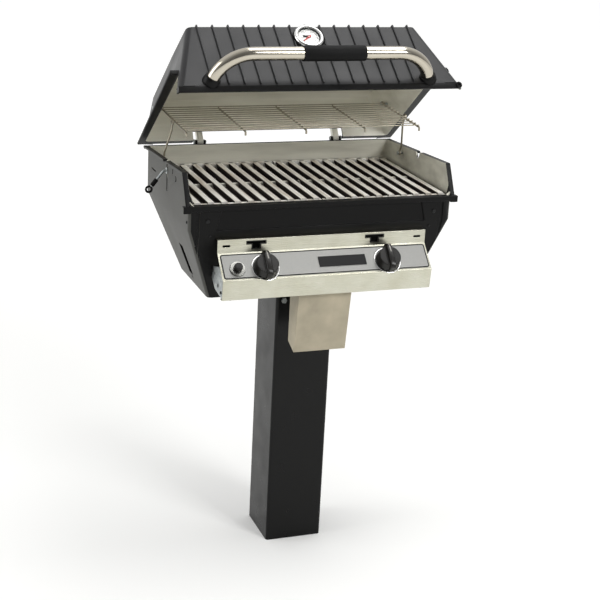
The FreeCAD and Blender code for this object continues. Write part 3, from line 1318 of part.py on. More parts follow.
def make_rack():
    """The wire rack: two sides with eyes, cross wires hooked down in front, thin wires over them."""
    pieces = []
    for x in (-RACK_HALF, RACK_HALF):
        eye = bar(rack_point(x - 2.2, 0), X_AXIS, RACK_EYE_R, 4.4, 12)
        pieces.append(eye)
    for x in (-RACK_HALF, -RACK_CROSS_X, 0.0, RACK_CROSS_X, RACK_HALF):
        start = 4.0 if abs(x) == RACK_HALF else RACK_FAR_WIRE
        route = [rack_point(x, start), rack_point(x, RACK_DEEP), rack_point(x, RACK_DEEP, -RACK_HOOK)]
        pieces.append(bent_rod(route, RACK_WIRE_R, RACK_WIRE_R * 1.6, steps=2))
    weld = RACK_WIRE_R * math.cos(math.pi / 8) + RACK_THIN_R * math.cos(math.pi / 6)
    pitch = (RACK_DEEP - 8.0 - RACK_FAR_WIRE) / (RACK_WIRES - 1)
    for index in range(RACK_WIRES):
        along = RACK_FAR_WIRE + pitch * index
        pieces.append(bar(rack_point(-RACK_HALF - 3, along, weld), X_AXIS, RACK_THIN_R, 2 * RACK_HALF + 6, 6,
                          RACK_TOP))
    for side in (-1, 1):
        start = Vector(side * (RACK_HALF - 1), LINK.y, LINK.z)
        pieces.append(bar(start, Vector(side, 0, 0), LINK_PIN_R, LINK_REACH - RACK_HALF + 1))
    shape = fused(pieces)
    for x in (-RACK_HALF, RACK_HALF):
        shape = shape.cut(bar(rack_point(x - 5, 0), X_AXIS, RACK_BORE, 10, ROUND_SIDES))
    return shape


def make_rack_pins():
    """Pins through the lid's flanks that carry the rack, drawn on the closed lid."""
    pivot = closed_pivot()
    wall = flank_x(pivot.z)
    start = Vector(RACK_HALF - 5.0, pivot.y, pivot.z)
    pin = rod(start, X_AXIS, RACK_PIN_R, wall + 4.0 - start.x)
    head = bar(Vector(wall + 2.0, pivot.y, pivot.z), X_AXIS, RACK_PIN_R + 2.5, 3.0)
    stop = bar(start, X_AXIS, RACK_PIN_R + 1.6, 1.6)
    return both_sides(fused([pin, head, stop]))


def make_arm(side):
    """A wire arm from the firebox's wall up to the rack, with an eye at each end."""
    foot = Vector(side * ARM_FOOT_X, *ARM_FOOT)
    top = Vector(side * ARM_TOP_X, LINK.y, LINK.z)
    way = Vector(0, top.y - foot.y, top.z - foot.z).normalize()
    low_end, high_end = foot + way * (RACK_EYE_R - 2.0), top - way * (LINK_EYE_R - 2.0)
    route = [low_end, foot + way * 26.0, top - way * 26.0, high_end]
    wire = bent_rod(route, RACK_WIRE_R, 14.0, steps=2)
    low_eye = bar(foot - X_AXIS * 2.2, X_AXIS, RACK_EYE_R, 4.4, 12)
    high_eye = bar(top - X_AXIS * 2.2, X_AXIS, LINK_EYE_R, 4.4, 12)
    shape = fused([wire, low_eye, high_eye])
    shape = shape.cut(bar(foot - X_AXIS * 6, X_AXIS, RACK_BORE, 12, ROUND_SIDES))
    return shape.cut(bar(top - X_AXIS * 6, X_AXIS, LINK_PIN_R + LINK_SLACK, 12, 12))


def make_arm_pins():
    """Pins in the firebox's side walls that carry the arms."""
    wall = BOX_HALF - BOX_WALL
    foot = Vector(ARM_FOOT_X - 6.0, *ARM_FOOT)
    pin = rod(foot, X_AXIS, RACK_PIN_R, wall - foot.x)
    head = bar(foot, X_AXIS, RACK_PIN_R + 2.0, 2.0)
    return both_sides(fused([pin, head]))


# Side lever
def make_lever():
    """The bent lever through the left wall's slot, with a washer inside and a ring at its end."""
    y = SPIT_BACK
    start = Vector(-BOX_HALF + BOX_WALL + 2.2, y, LEVER_UP)
    knee = Vector(-BOX_HALF - LEVER_KNEE_OUT, y, LEVER_UP)
    end = Vector(-BOX_HALF - LEVER_END_OUT, y, LEVER_END_UP)
    shaft = bent_rod([start, knee, end], LEVER_R, 9.0, steps=3)
    washers = [bar(Vector(x, y, LEVER_UP), X_AXIS, LEVER_WASHER_R, 2.0, 10)
               for x in (-BOX_HALF - 2.3, -BOX_HALF + BOX_WALL + 0.3)]
    way = (end - knee).normalize()
    ring_centre = end + way * (LEVER_RING_R + 6.0)
    ring = wire_ring(ring_centre, Y_AXIS, LEVER_RING_R, 2.0)
    neck = bar(end - way, way, 2.4, 8.5)
    return fused([shaft, ring, neck] + washers)


def wire_ring(centre, axis, radius, wire_r):
    """A closed ring of wire round an axis."""
    way = Vector(axis).normalize()
    profile = [(radius + wire_r * math.cos(a), wire_r * math.sin(a)) for a in
               (math.radians(30 + 60 * i) for i in range(6))]
    return placed(turned(profile, 14), centre, way)


def make_lever_grip():
    """The black sleeve on the lever, just above its ring."""
    knee = Vector(-BOX_HALF - LEVER_KNEE_OUT, SPIT_BACK, LEVER_UP)
    end = Vector(-BOX_HALF - LEVER_END_OUT, SPIT_BACK, LEVER_END_UP)
    way = (end - knee).normalize()
    start = end - way * 18.0
    return tube(start, way, LEVER_GRIP_R, LEVER_R + 0.05, 20.0)


def main():
    """Builds every piece and writes its STEP file."""
    os.makedirs("parts", exist_ok=True)
    write("post", make_post())
    write("saddle", make_saddle())
    write("post_bolts", make_post_bolts())
    write("saddle_bolts", make_saddle_bolts())
    write("firebox", make_firebox())
    write("firebox_screws", make_firebox_screws())
    write("burner_rails", make_rails())
    for name, side in (("left", -1), ("right", 1)):
        write("grate_" + name, make_grate(side))
        write("burner_" + name, make_burner(side))
        write("burner_tiles_" + name, make_tiles(side))
        write("mixer_tube_" + name, make_venturi(side))
        write("panel_bracket_" + name, make_panel_bracket(side))
        write("valve_" + name, make_valve(side))
        write("valve_collar_" + name, make_collar(side))
        write("valve_stem_" + name, make_stem(side))
        write("knob_" + name, make_knob(side))
        write("knob_marker_" + name, make_knob_marker(side))
        write("rack_arm_" + name, make_arm(side))
    write("electrodes", make_electrodes())
    write("control_panel", make_panel())
    write("fascia_plate", make_fascia())
    write("panel_screws", make_panel_screws())
    write("gas_manifold", make_manifold())
    write("gas_inlet", make_inlet())
    write("igniter_body", make_igniter_body())
    write("igniter_button", make_igniter_button())
    write("gas_line_cover", make_cover())
    write("hinge_brackets", make_hinge_brackets())
    write("hinge_pins", make_hinge_pins())
    write_lid("lid", make_lid())
    write_lid("lid_hinge_lugs", make_lid_lugs())
    write_lid("handle_tube", make_handle_tube())
    write_lid("handle_grip", make_handle_grip())
    write_lid("handle_sockets", make_handle_sockets())
    write_lid("handle_screws", make_handle_screws())
    write_lid("thermometer_case", make_gauge_bezel())
    write_lid("thermometer_dial", make_gauge_dial())
    write_lid("thermometer_glass", make_gauge_glass())
    write_lid("thermometer_stem", make_gauge_stem())
    write_lid("thermometer_needle", make_gauge_needle())
    write_lid("rack_pins", make_rack_pins())
    write("warming_rack", make_rack())
    write("rack_arm_pins", make_arm_pins())
    write("side_lever", make_lever())
    write("side_lever_grip", make_lever_grip())


main()
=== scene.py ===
"""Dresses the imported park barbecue: eased castings, smooth wire and tube, dial, finishes, light and camera."""

import json
import logging
import math
from dataclasses import dataclass
from enum import Enum
from functools import cached_property
from typing import Iterable, Optional, Sequence, Union

import bmesh
import bpy
from mathutils import Matrix, Vector


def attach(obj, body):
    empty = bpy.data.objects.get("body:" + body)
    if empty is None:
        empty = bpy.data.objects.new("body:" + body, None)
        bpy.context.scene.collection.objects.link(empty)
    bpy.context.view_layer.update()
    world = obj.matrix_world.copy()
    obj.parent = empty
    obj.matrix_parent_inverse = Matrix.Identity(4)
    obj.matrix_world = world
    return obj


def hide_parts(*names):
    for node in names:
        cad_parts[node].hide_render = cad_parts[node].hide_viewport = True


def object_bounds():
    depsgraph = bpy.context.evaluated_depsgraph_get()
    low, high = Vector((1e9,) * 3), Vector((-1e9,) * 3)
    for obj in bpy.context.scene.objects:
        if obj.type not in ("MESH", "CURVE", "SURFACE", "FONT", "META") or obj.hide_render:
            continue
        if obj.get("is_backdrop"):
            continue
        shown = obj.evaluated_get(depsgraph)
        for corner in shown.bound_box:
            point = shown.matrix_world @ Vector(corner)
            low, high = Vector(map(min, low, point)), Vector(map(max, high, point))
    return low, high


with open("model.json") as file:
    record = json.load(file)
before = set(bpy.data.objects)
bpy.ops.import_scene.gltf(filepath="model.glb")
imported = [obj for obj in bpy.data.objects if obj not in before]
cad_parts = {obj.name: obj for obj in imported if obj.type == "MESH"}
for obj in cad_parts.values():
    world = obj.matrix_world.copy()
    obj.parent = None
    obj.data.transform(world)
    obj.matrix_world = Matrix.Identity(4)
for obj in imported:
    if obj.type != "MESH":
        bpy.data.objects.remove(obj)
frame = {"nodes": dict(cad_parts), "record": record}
CAD_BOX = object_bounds()
LOG = logging.getLogger("barbecue")
MM = 0.001
RIGHT, BACK, UP = Vector((1.0, 0.0, 0.0)), Vector((0.0, 1.0, 0.0)), Vector((0.0, 0.0, 1.0))
SIDES = ((-1, "left"), (1, "right"))
WHITE = (1.0, 1.0, 1.0, 1.0)
Point = Union[Vector, Sequence[float]]
Outline = Sequence[tuple[float, float]]
Inputs = Union[dict, Sequence[object], None]


def linear(code: str) -> tuple[float, float, float, float]:
    """Turns an sRGB hex colour into the linear colour that a shader wants.

    Args:
        code: six hex digits, with or without the hash sign.

    Returns:
        Red, green, blue and an alpha of 1.
    """
    digits = code.lstrip("#")
    parts = [int(digits[i : i + 2], 16) / 255.0 for i in (0, 2, 4)]
    red, green, blue = (c / 12.92 if c <= 0.04045 else ((c + 0.055) / 1.055) ** 2.4 for c in parts)
    return red, green, blue, 1.0


def feed(tree: bpy.types.NodeTree, node: bpy.types.Node, inputs: Inputs) -> None:
    """Gives a node's inputs their values or links.

    Args:
        tree: the node's tree.
        node: the node.
        inputs: socket name or number to a value, to the socket that feeds it, or to the node whose
            first live output does; or a sequence of these in the sockets' order.
    """
    for key, value in inputs.items() if isinstance(inputs, dict) else enumerate(inputs or ()):
        if isinstance(value, bpy.types.Node):
            value = next(socket for socket in value.outputs if socket.enabled)
        if isinstance(value, bpy.types.NodeSocket):
            tree.links.new(value, node.inputs[key])
        else:
            node.inputs[key].default_value = value


def add(tree: bpy.types.NodeTree, kind: str, inputs: Inputs = None, **settings: object) -> bpy.types.Node:
    """Adds a node with its settings, values and links.

    Args:
        tree: the shader or geometry tree.
        kind: the node's type name.
        inputs: what feed takes.
        **settings: the node's own properties.

    Returns:
        The new node.
    """
    node = tree.nodes.new(kind)
    for key, value in settings.items():
        setattr(node, key, value)
    feed(tree, node, inputs)
    return node


class Slot(Enum):
    """The record's material slots."""

    POST = "post_powder_coat"
    CASTING = "cast_paint_charcoal"
    BRUSHED = "stainless_brushed"
    BARS = "stainless_bar"
    CHROME = "chrome_wire"
    ZINC = "zinc_plate"
    TAUPE = "taupe_sheet_paint"
    BRASS = "brass_bare"
    KNOB = "knob_thermoset"
    RUBBER = "grip_rubber"
    WHITE = "marker_white"
    CERAMIC = "ceramic_tile"
    DIAL = "dial_enamel"
    GLASS = "gauge_glass"
    RED = "needle_red"


class Body(Enum):
    """The moving bodies that pieces ride on."""

    STAND = "stand"
    LID = "lid_frame"
    NEEDLE = "needle"
    RACK = "rack"
    ARMS = "rack_arms"
    LEFT = "control_left"
    RIGHT = "control_right"
    IGNITER = "igniter"
    LEVER = "lever"


class Ground:
    """A finish while it is laid: its shader, the piece's own points and a normal that rounds off its edges."""

    def __init__(self, finish: "Finish", samples: int = 4) -> None:
        """Starts an empty material.

        Args:
            finish: the finish it is for.
            samples: how finely the edges are rounded off.
        """
        self.edge, self.samples = finish.edge_mm * MM, samples
        self.material = bpy.data.materials.new(finish.name)
        self.material.use_nodes = True
        self.tree = self.material.node_tree
        self.tree.nodes.clear()
        self.shader = self.add("ShaderNodeBsdfPrincipled", {"Roughness": finish.roughness})
        self.add("ShaderNodeOutputMaterial", {"Surface": self.shader})
        self.points = self.add("ShaderNodeTexCoord").outputs

    @cached_property
    def soft(self) -> bpy.types.Node:
        """The normal that rounds off the edges."""
        return self.add("ShaderNodeBevel", {"Radius": self.edge}, samples=self.samples)

    def add(self, kind: str, inputs: Inputs = None, **settings: object) -> bpy.types.Node:
        """Adds a node to this material."""
        return add(self.tree, kind, inputs, **settings)

    def lay(
        self, inputs: dict, relief: Optional[bpy.types.Node] = None, depth_mm: float = 0.0, strength: float = 1.0
    ) -> bpy.types.Material:
        """Feeds the shader and closes the material.

        Args:
            inputs: the shader's inputs.
            relief: the pattern that stands out of the surface, if any.
            depth_mm: its depth.
            strength: how much of it shows.

        Returns:
            The material.
        """
        if relief:
            height = {"Height": relief, "Distance": depth_mm * MM, "Strength": strength, "Normal": self.soft}
            inputs["Normal"] = self.add("ShaderNodeBump", height)
        elif "Normal" not in inputs:
            inputs["Normal"] = self.soft
        feed(self.tree, self.shader, inputs)
        return self.material


@dataclass(frozen=True)
class Finish:
    """What every finish has.

    Attributes:
        name: the real finish's plain name.
        colour: its sRGB colour.
        roughness: 0 for a mirror to 1 for chalk.
        edge_mm: the radius that light sees on its sharp edges.
    """

    name: str
    colour: str
    roughness: float
    edge_mm: float = 0.4

    def material(self) -> bpy.types.Material:
        """Builds the finish; each kind of finish has its own."""
        raise NotImplementedError


@dataclass(frozen=True)
class Paint(Finish):
    """Paint or powder coat: a dielectric film with a fine skin, thinner and paler on edges; on the lid the edge colour
    is near black, as painted shade along the ribs.

    Attributes:
        worn: the colour that shows along rubbed edges; on the lid it is near black, painted shade along the ribs.
        grain_mm: the size of the skin's bumps.
        depth_mm: their height.
        specular: the film's gloss level.
        patch_mm: the size of the dull patches that weather leaves.
        wear: how much of the edge colour shows, as rubbed paint and as painted shade.
        sheen: the dusty glow at grazing angles.
    """

    worn: str = "#55524c"
    grain_mm: float = 0.8
    depth_mm: float = 0.05
    specular: float = 0.5
    patch_mm: float = 70.0
    wear: float = 0.35
    sheen: float = 0.0

    def material(self) -> bpy.types.Material:
        """Builds the paint.

        Returns:
            The material.
        """
        ground = Ground(self, samples=6)
        place = ground.points["Object"]
        grain = ground.add("ShaderNodeTexNoise", {"Vector": place, "Scale": 1.0 / (self.grain_mm * MM), "Detail": 2.0})
        patch = ground.add("ShaderNodeTexNoise", {"Vector": place, "Scale": 1.0 / (self.patch_mm * MM), "Detail": 4.0})
        flat = ground.add("ShaderNodeNewGeometry").outputs["Normal"]
        turn = ground.add("ShaderNodeVectorMath", (ground.soft, flat), operation="DOT_PRODUCT")
        # The edge colour marks rubbed paint, and on the lid it is near-black painted shade along the ribs.
        edge = ground.add("ShaderNodeMapRange", (turn, 0.99, 0.85, 0.0, self.wear))
        rubbed = ground.add("ShaderNodeMath", (edge, patch), operation="MULTIPLY")
        tone = ground.add("ShaderNodeMapRange", (patch, 0.3, 0.7, 0.82, 1.18))
        base = ground.add("ShaderNodeVectorMath", {0: linear(self.colour)[:3], "Scale": tone}, operation="SCALE")
        colour = ground.add("ShaderNodeMix", {0: rubbed, 6: base, 7: linear(self.worn)}, data_type="RGBA")
        gloss = ground.add("ShaderNodeMapRange", (patch, 0.3, 0.7, self.roughness - 0.05, self.roughness + 0.08))
        film = {"Specular IOR Level": self.specular, "Sheen Weight": self.sheen, "Sheen Roughness": 0.35}
        return ground.lay({"Base Color": colour, "Roughness": gloss, **film}, grain, self.depth_mm)


@dataclass(frozen=True)
class BareCasting(Finish):
    """Unpainted sand-cast aluminium inside the box and lid: dull grey with smoke, black below the grates with baked-on
    grease and painted shade under them.

    Attributes:
        smoke: the colour of the smoke film.
        soot: the colour below the grates: baked-on black grease, and painted shade under the grates.
        soot_line: between which heights above ground that dark colour ends, in metres.
        cloud: how the smoke drifts: small along a wall, large up it.
        grain_mm: the sand's grain.
    """

    smoke: str = "#938f80"
    soot: str = "#15120f"
    soot_line: tuple[float, float] = (0.936, 0.958)
    cloud: tuple[float, float, float] = (4.0, 14.0, 30.0)
    grain_mm: float = 1.1

    def material(self) -> bpy.types.Material:
        """Builds the casting.

        Returns:
            The material.
        """
        ground = Ground(self)
        place = ground.points["Object"]
        sand = ground.add("ShaderNodeTexNoise", {"Vector": place, "Scale": 1.0 / (self.grain_mm * MM), "Detail": 3.0})
        drawn = ground.add("ShaderNodeMapping", {"Vector": place, "Scale": self.cloud})
        cloud = ground.add("ShaderNodeTexNoise", {"Vector": drawn, "Scale": 1.0, "Detail": 6.0})
        film = ground.add("ShaderNodeMapRange", (cloud, 0.38, 0.72, 0.0, 0.55))
        clean = ground.add(
            "ShaderNodeMix", {0: film, 6: linear(self.colour), 7: linear(self.smoke)}, data_type="RGBA"
        )
        # Black below the grates: baked-on grease, and painted shade under them.
        height = ground.add("ShaderNodeSeparateXYZ", (place,)).outputs[2]
        above = ground.add("ShaderNodeMapRange", (height, *self.soot_line))
        colour = ground.add("ShaderNodeMix", {0: above, 6: linear(self.soot), 7: clean}, data_type="RGBA")
        return ground.lay({"Base Color": colour, "Metallic": 0.1}, sand, 0.08)


@dataclass(frozen=True)
class Brushed(Finish):
    """Stainless steel with a brushed or cast grain.

    Attributes:
        tint: the heat or oil tint in the patches.
        stretch: how the grain runs: small along the brushing, large across it.
        tint_most: how strong the tint gets.
        patch_mm: the tint's size.
        vary: how much the grain changes the roughness.
        relief: how deep the grain is cut.
    """

    tint: str = "#8d8269"
    stretch: tuple[float, float, float] = (6.0, 900.0, 900.0)
    tint_most: float = 0.25
    patch_mm: float = 60.0
    vary: float = 0.08
    relief: float = 0.6

    def material(self) -> bpy.types.Material:
        """Builds the steel.

        Returns:
            The material.
        """
        ground = Ground(self)
        place = ground.points["Object"]
        drawn = ground.add("ShaderNodeMapping", {"Vector": place, "Scale": self.stretch})
        lines = ground.add("ShaderNodeTexNoise", {"Vector": drawn, "Scale": 1.0, "Detail": 3.0})
        patch = ground.add("ShaderNodeTexNoise", {"Vector": place, "Scale": 1.0 / (self.patch_mm * MM), "Detail": 3.0})
        share = ground.add("ShaderNodeMapRange", (patch, 0.35, 0.7, 0.0, self.tint_most))
        colour = ground.add(
            "ShaderNodeMix", {0: share, 6: linear(self.colour), 7: linear(self.tint)}, data_type="RGBA"
        )
        rough = (self.roughness - self.vary, self.roughness + self.vary)
        gloss = ground.add("ShaderNodeMapRange", (lines, 0.3, 0.7, *rough))
        return ground.lay({"Base Color": colour, "Roughness": gloss, "Metallic": 1.0}, lines, 0.02, self.relief)


@dataclass(frozen=True)
class Seared(Finish):
    """Cast stainless bars: scraped tops and ends with straw and grey streaks, sides dark with baked-on fat; the split
    by facing is also painted light and shade, bright where a face looks up or to the front.

    Attributes:
        soot: the sides' colour: baked-on fat, and painted shade between the bars.
        straw: the heat tint's colour.
        streak: how the scraper's streaks run: small along the bars, large across them.
        clean: how level a face is before it shows bare metal: upward share of its normal; faces that look to the front
            brighten too, as painted light.
        metal: how metallic the scraped steel looks under its film of fat.
        grain_mm: the casting's grain.
    """

    soot: str = "#393330"
    straw: str = "#c4b8a6"
    streak: tuple[float, float, float] = (70.0, 6.0, 60.0)
    clean: tuple[float, float] = (0.62, 0.92)
    metal: float = 0.12
    grain_mm: float = 1.2

    def material(self) -> bpy.types.Material:
        """Builds the steel.

        Returns:
            The material.
        """
        ground = Ground(self)
        place = ground.points["Object"]
        drawn = ground.add("ShaderNodeMapping", {"Vector": place, "Scale": self.streak})
        streak = ground.add("ShaderNodeTexNoise", {"Vector": drawn, "Scale": 1.0, "Detail": 4.0})
        grain = ground.add("ShaderNodeTexNoise", {"Vector": place, "Scale": 1.0 / (self.grain_mm * MM), "Detail": 2.0})
        tint = ground.add("ShaderNodeMapRange", (streak, 0.42, 0.72, 0.0, 0.85))
        metal = ground.add("ShaderNodeMix", {0: tint, 6: linear(self.colour), 7: linear(self.straw)}, data_type="RGBA")
        # Faces that look up or to the front are bright and the sides dark: scraped metal and fat, with painted light
        # and shade by facing.
        facing = ground.add("ShaderNodeSeparateXYZ", (ground.points["Normal"],)).outputs
        level = ground.add("ShaderNodeMapRange", (facing[2], *self.clean))
        ends = ground.add("ShaderNodeMapRange", (facing[1], -self.clean[0], -self.clean[1], 0.0, 0.7))
        bare = ground.add("ShaderNodeMath", (level, ends), operation="MAXIMUM")
        colour = ground.add("ShaderNodeMix", {0: bare, 6: linear(self.soot), 7: metal}, data_type="RGBA")
        gloss = ground.add("ShaderNodeMapRange", (streak, 0.3, 0.7, self.roughness - 0.08, self.roughness + 0.12))
        dull = ground.add("ShaderNodeMix", {0: bare, 2: 0.85, 3: gloss}, data_type="FLOAT")
        shine = ground.add("ShaderNodeMath", (bare, self.metal), operation="MULTIPLY")
        inputs = {"Base Color": colour, "Roughness": dull, "Metallic": shine, "Specular IOR Level": 0.06}
        return ground.lay(inputs, grain, 0.06, 0.8)


@dataclass(frozen=True)
class Plated(Finish):
    """Plated or bare small metal: its grey or gold breaks up in flakes.

    Attributes:
        flake: the colour of the darker flakes.
        flake_mm: their size.
        flake_most: how much they show.
    """

    flake: str = "#8b8f90"
    flake_mm: float = 3.0
    flake_most: float = 0.4

    def material(self) -> bpy.types.Material:
        """Builds the metal.

        Returns:
            The material.
        """
        ground = Ground(self)
        flakes = {"Vector": ground.points["Object"], "Scale": 1.0 / (self.flake_mm * MM)}
        cells = ground.add("ShaderNodeTexVoronoi", flakes)
        grey = ground.add("ShaderNodeSeparateColor", (cells.outputs["Color"],)).outputs
        share = ground.add("ShaderNodeMath", (grey[0], self.flake_most), operation="MULTIPLY")
        colour = ground.add(
            "ShaderNodeMix", {0: share, 6: linear(self.colour), 7: linear(self.flake)}, data_type="RGBA"
        )
        gloss = ground.add("ShaderNodeMapRange", (grey[1], 0.0, 1.0, self.roughness, self.roughness + 0.1))
        return ground.lay({"Base Color": colour, "Roughness": gloss, "Metallic": 1.0})


@dataclass(frozen=True)
class Moulded(Finish):
    """Moulded plastic, rubber, enamel or print: one colour with a fine texture.

    Attributes:
        grain_mm: the mould's texture.
        depth_mm: its height.
        specular: the surface's gloss level.
        alpha: 1 for solid, less for a clear window.
        haze_mm: the size of its faint lighter and darker clouds.
    """

    grain_mm: float = 0.4
    depth_mm: float = 0.02
    specular: float = 0.5
    alpha: float = 1.0
    haze_mm: float = 12.0

    def material(self) -> bpy.types.Material:
        """Builds the moulding.

        Returns:
            The material.
        """
        ground = Ground(self)
        place = ground.points["Object"]
        grain = ground.add("ShaderNodeTexNoise", {"Vector": place, "Scale": 1.0 / (self.grain_mm * MM), "Detail": 2.0})
        haze = ground.add("ShaderNodeTexNoise", {"Vector": place, "Scale": 1.0 / (self.haze_mm * MM), "Detail": 3.0})
        tone = ground.add("ShaderNodeMapRange", (haze, 0.3, 0.7, 0.92, 1.08))
        colour = ground.add("ShaderNodeVectorMath", {0: linear(self.colour)[:3], "Scale": tone}, operation="SCALE")
        inputs = {"Base Color": colour, "Specular IOR Level": self.specular, "Alpha": self.alpha}
        return ground.lay(inputs, grain, self.depth_mm)


@dataclass(frozen=True)
class Perforated(Finish):
    """Fired ceramic tile with rows of flame ports.

    Attributes:
        port: the ports' colour.
        pitch_mm: the ports' spacing, drawn coarser than the real 1.5 mm so that it shows.
    """

    port: str = "#3a332b"
    pitch_mm: float = 3.0

    def material(self) -> bpy.types.Material:
        """Builds the tile.

        Returns:
            The material.
        """
        ground = Ground(self)
        flat = ground.add("ShaderNodeMapping", {"Vector": ground.points["Object"], "Scale": (1.0, 1.0, 0.0)})
        rows = {"Vector": flat, "Scale": 1.0 / (self.pitch_mm * MM), "Randomness": 0.0}
        cells = ground.add("ShaderNodeTexVoronoi", rows).outputs["Distance"]
        hole = ground.add("ShaderNodeMapRange", (cells, 0.30, 0.22, 0.0, 1.0))
        colour = ground.add("ShaderNodeMix", {0: hole, 6: linear(self.colour), 7: linear(self.port)}, data_type="RGBA")
        dip = ground.add("ShaderNodeBump", {"Height": hole, "Distance": 0.8 * MM}, invert=True)
        return ground.lay({"Base Color": colour, "Normal": dip})


# Satin heat paint on the cast firebox: near black, with a sandy skin that greys at a glance.
CAST_PAINT = Paint("satin heat paint on sand-cast aluminium", "#0b0b0b", 0.38, 1.2, worn="#2b2a28", grain_mm=0.9,
                   specular=0.14, wear=0.15, sheen=0.04)
# The same paint on the box's sides in a dull stone grey: painted reflection of the light from the left on the
# near-black paint.
LIT_SIDE_PAINT = Paint("chalked heat paint on sand-cast aluminium", "#42423e", 0.55, 1.2, worn="#33332f", grain_mm=0.9,
                   specular=0.25, patch_mm=110.0, wear=0.5, sheen=0.16)
# The same paint on the lid in a paler charcoal grey, as painted light on its upward panel, with near-black edges as
# painted shade along its ribs.
LIT_LID_PAINT = Paint("heat paint on sand-cast aluminium, painted paler on the lid", "#232324", 0.38, 1.2, worn="#0b0b0b", grain_mm=0.9,
                  specular=0.25, wear=0.9, sheen=0.08)
# Bare casting inside the box: warm grey, dull, smoke-stained, black below the grates with sooty grease and painted
# shade.
CAST_BARE = BareCasting("bare sand-cast aluminium", "#dfddd0", 0.55, 1.2)
# The lid's inside: the same casting, paler, as painted light where the front light falls into the open lid.
LIT_LID_BARE = BareCasting("bare sand-cast aluminium under the lid", "#f6f4e9", 0.5, 1.2, smoke="#cbc7b6")
# Powder coat on the post: black satin with a fine orange peel.
POWDER = Paint("black powder coat on steel tube", "#080808", 0.3, 1.0, grain_mm=1.6, depth_mm=0.02, specular=0.2,
               wear=0.2, sheen=0.05)
# Taupe stove paint on folded sheet: matte and even.
TAUPE = Paint("taupe stove paint on folded steel", "#b0a792", 0.62, 0.6, worn="#7f7768", grain_mm=1.2, depth_mm=0.02,
              specular=0.3)
# Brushed stainless sheet: long fine lines along the width.
BRUSHED = Brushed("brushed stainless steel sheet", "#c0bfb1", 0.3, 0.5, tint="#a8a590", tint_most=0.5)
# Polished stainless tube: clean reflections with faint lines along it.
POLISHED = Brushed("polished stainless steel tube", "#bdb7aa", 0.13, 0.3, tint="#a9a08a",
                   stretch=(3.0, 500.0, 500.0), tint_most=0.3, vary=0.02, relief=0.02)
# Cast stainless grates: scraped bright on top and at the ends, dark with fat at the sides, the split by facing also
# painted light and shade.
GRATE_STEEL = Seared("scraped cast stainless steel, painted light by facing", "#fffdf6", 0.34, 0.9)
# Burner sheet that heat has turned brown and blue-black.
BURNER_STEEL = Brushed("heat-blued stainless sheet", "#3d3a36", 0.5, 0.5, tint="#1b1a1b", tint_most=0.7)
# Small metals: chrome, zinc, steel, brass and anodised plate, each with flakes of its own darker tone.
CHROME = Plated("smoke-dulled chromed wire", "#a59f90", 0.3, 0.2, flake="#7d7667", flake_mm=5.0, flake_most=0.45)
BEZEL = Plated("polished chrome bezel", "#e2e2e0", 0.1, 0.2, flake="#c9c9c6", flake_mm=8.0, flake_most=0.2)
ZINC = Plated("galvanised steel", "#b4b8b6", 0.42, 0.4, flake="#80868a", flake_mm=5.0, flake_most=0.7)
SCREW_STEEL = Plated("oiled steel screws", "#3c3d3d", 0.45, 0.3, flake="#222323", flake_mm=4.0, flake_most=0.6)
CHROMED_NUT = Plated("dulled chrome nut", "#a3a39f", 0.2, 0.2, flake="#77776f", flake_mm=2.0, flake_most=0.5)
BRASS = Plated("machined brass", "#c9a560", 0.28, 0.3, flake="#97783d", flake_mm=4.0)
FASCIA = Plated("satin anodised aluminium plate", "#9b9b98", 0.42, 0.3, flake="#7c7c7a", flake_mm=0.7, flake_most=0.5)
# Moulded, printed, enamelled and glazed small things, smooth or with a fine mould texture.
THERMOSET = Moulded("black phenolic moulding", "#110f0b", 0.3, 0.8, grain_mm=0.5, depth_mm=0.015, specular=0.35)
RUBBER = Moulded("black heat-proof sleeve", "#0c0c0c", 0.6, 1.0, grain_mm=0.7, depth_mm=0.04, specular=0.14)
WHITE_LINE = Moulded("moulded pale line", "#a3a199", 0.4, 0.2)
ENAMEL = Moulded("white dial enamel", "#f0f0ec", 0.35, 0.2, depth_mm=0.003)
INK = Moulded("black printed ink", "#0a0a0b", 0.6, 0.1, depth_mm=0.002, specular=0.08)
FINE_INK = Moulded("grey printed ink", "#77777a", 0.5, 0.1, depth_mm=0.002)
RED = Moulded("red enamelled needle", "#c01c12", 0.35, 0.1, depth_mm=0.002)
NAME_ENAMEL = Moulded("black enamelled plate", "#0d0d0e", 0.3, 0.3, depth_mm=0.004, specular=0.2)
WINDOW = Moulded("clear dial glass", "#e8f0f0", 0.04, 0.2, depth_mm=0.0005, specular=0.15, alpha=0.02)
PORCELAIN = Moulded("glazed electrode porcelain", "#d8d2c4", 0.25, 0.4, depth_mm=0.01)
# Fired ceramic on the burners, darkened by smoke, with rows of small holes.
CERAMIC = Perforated("smoke-darkened perforated ceramic", "#3a342c", 0.85)


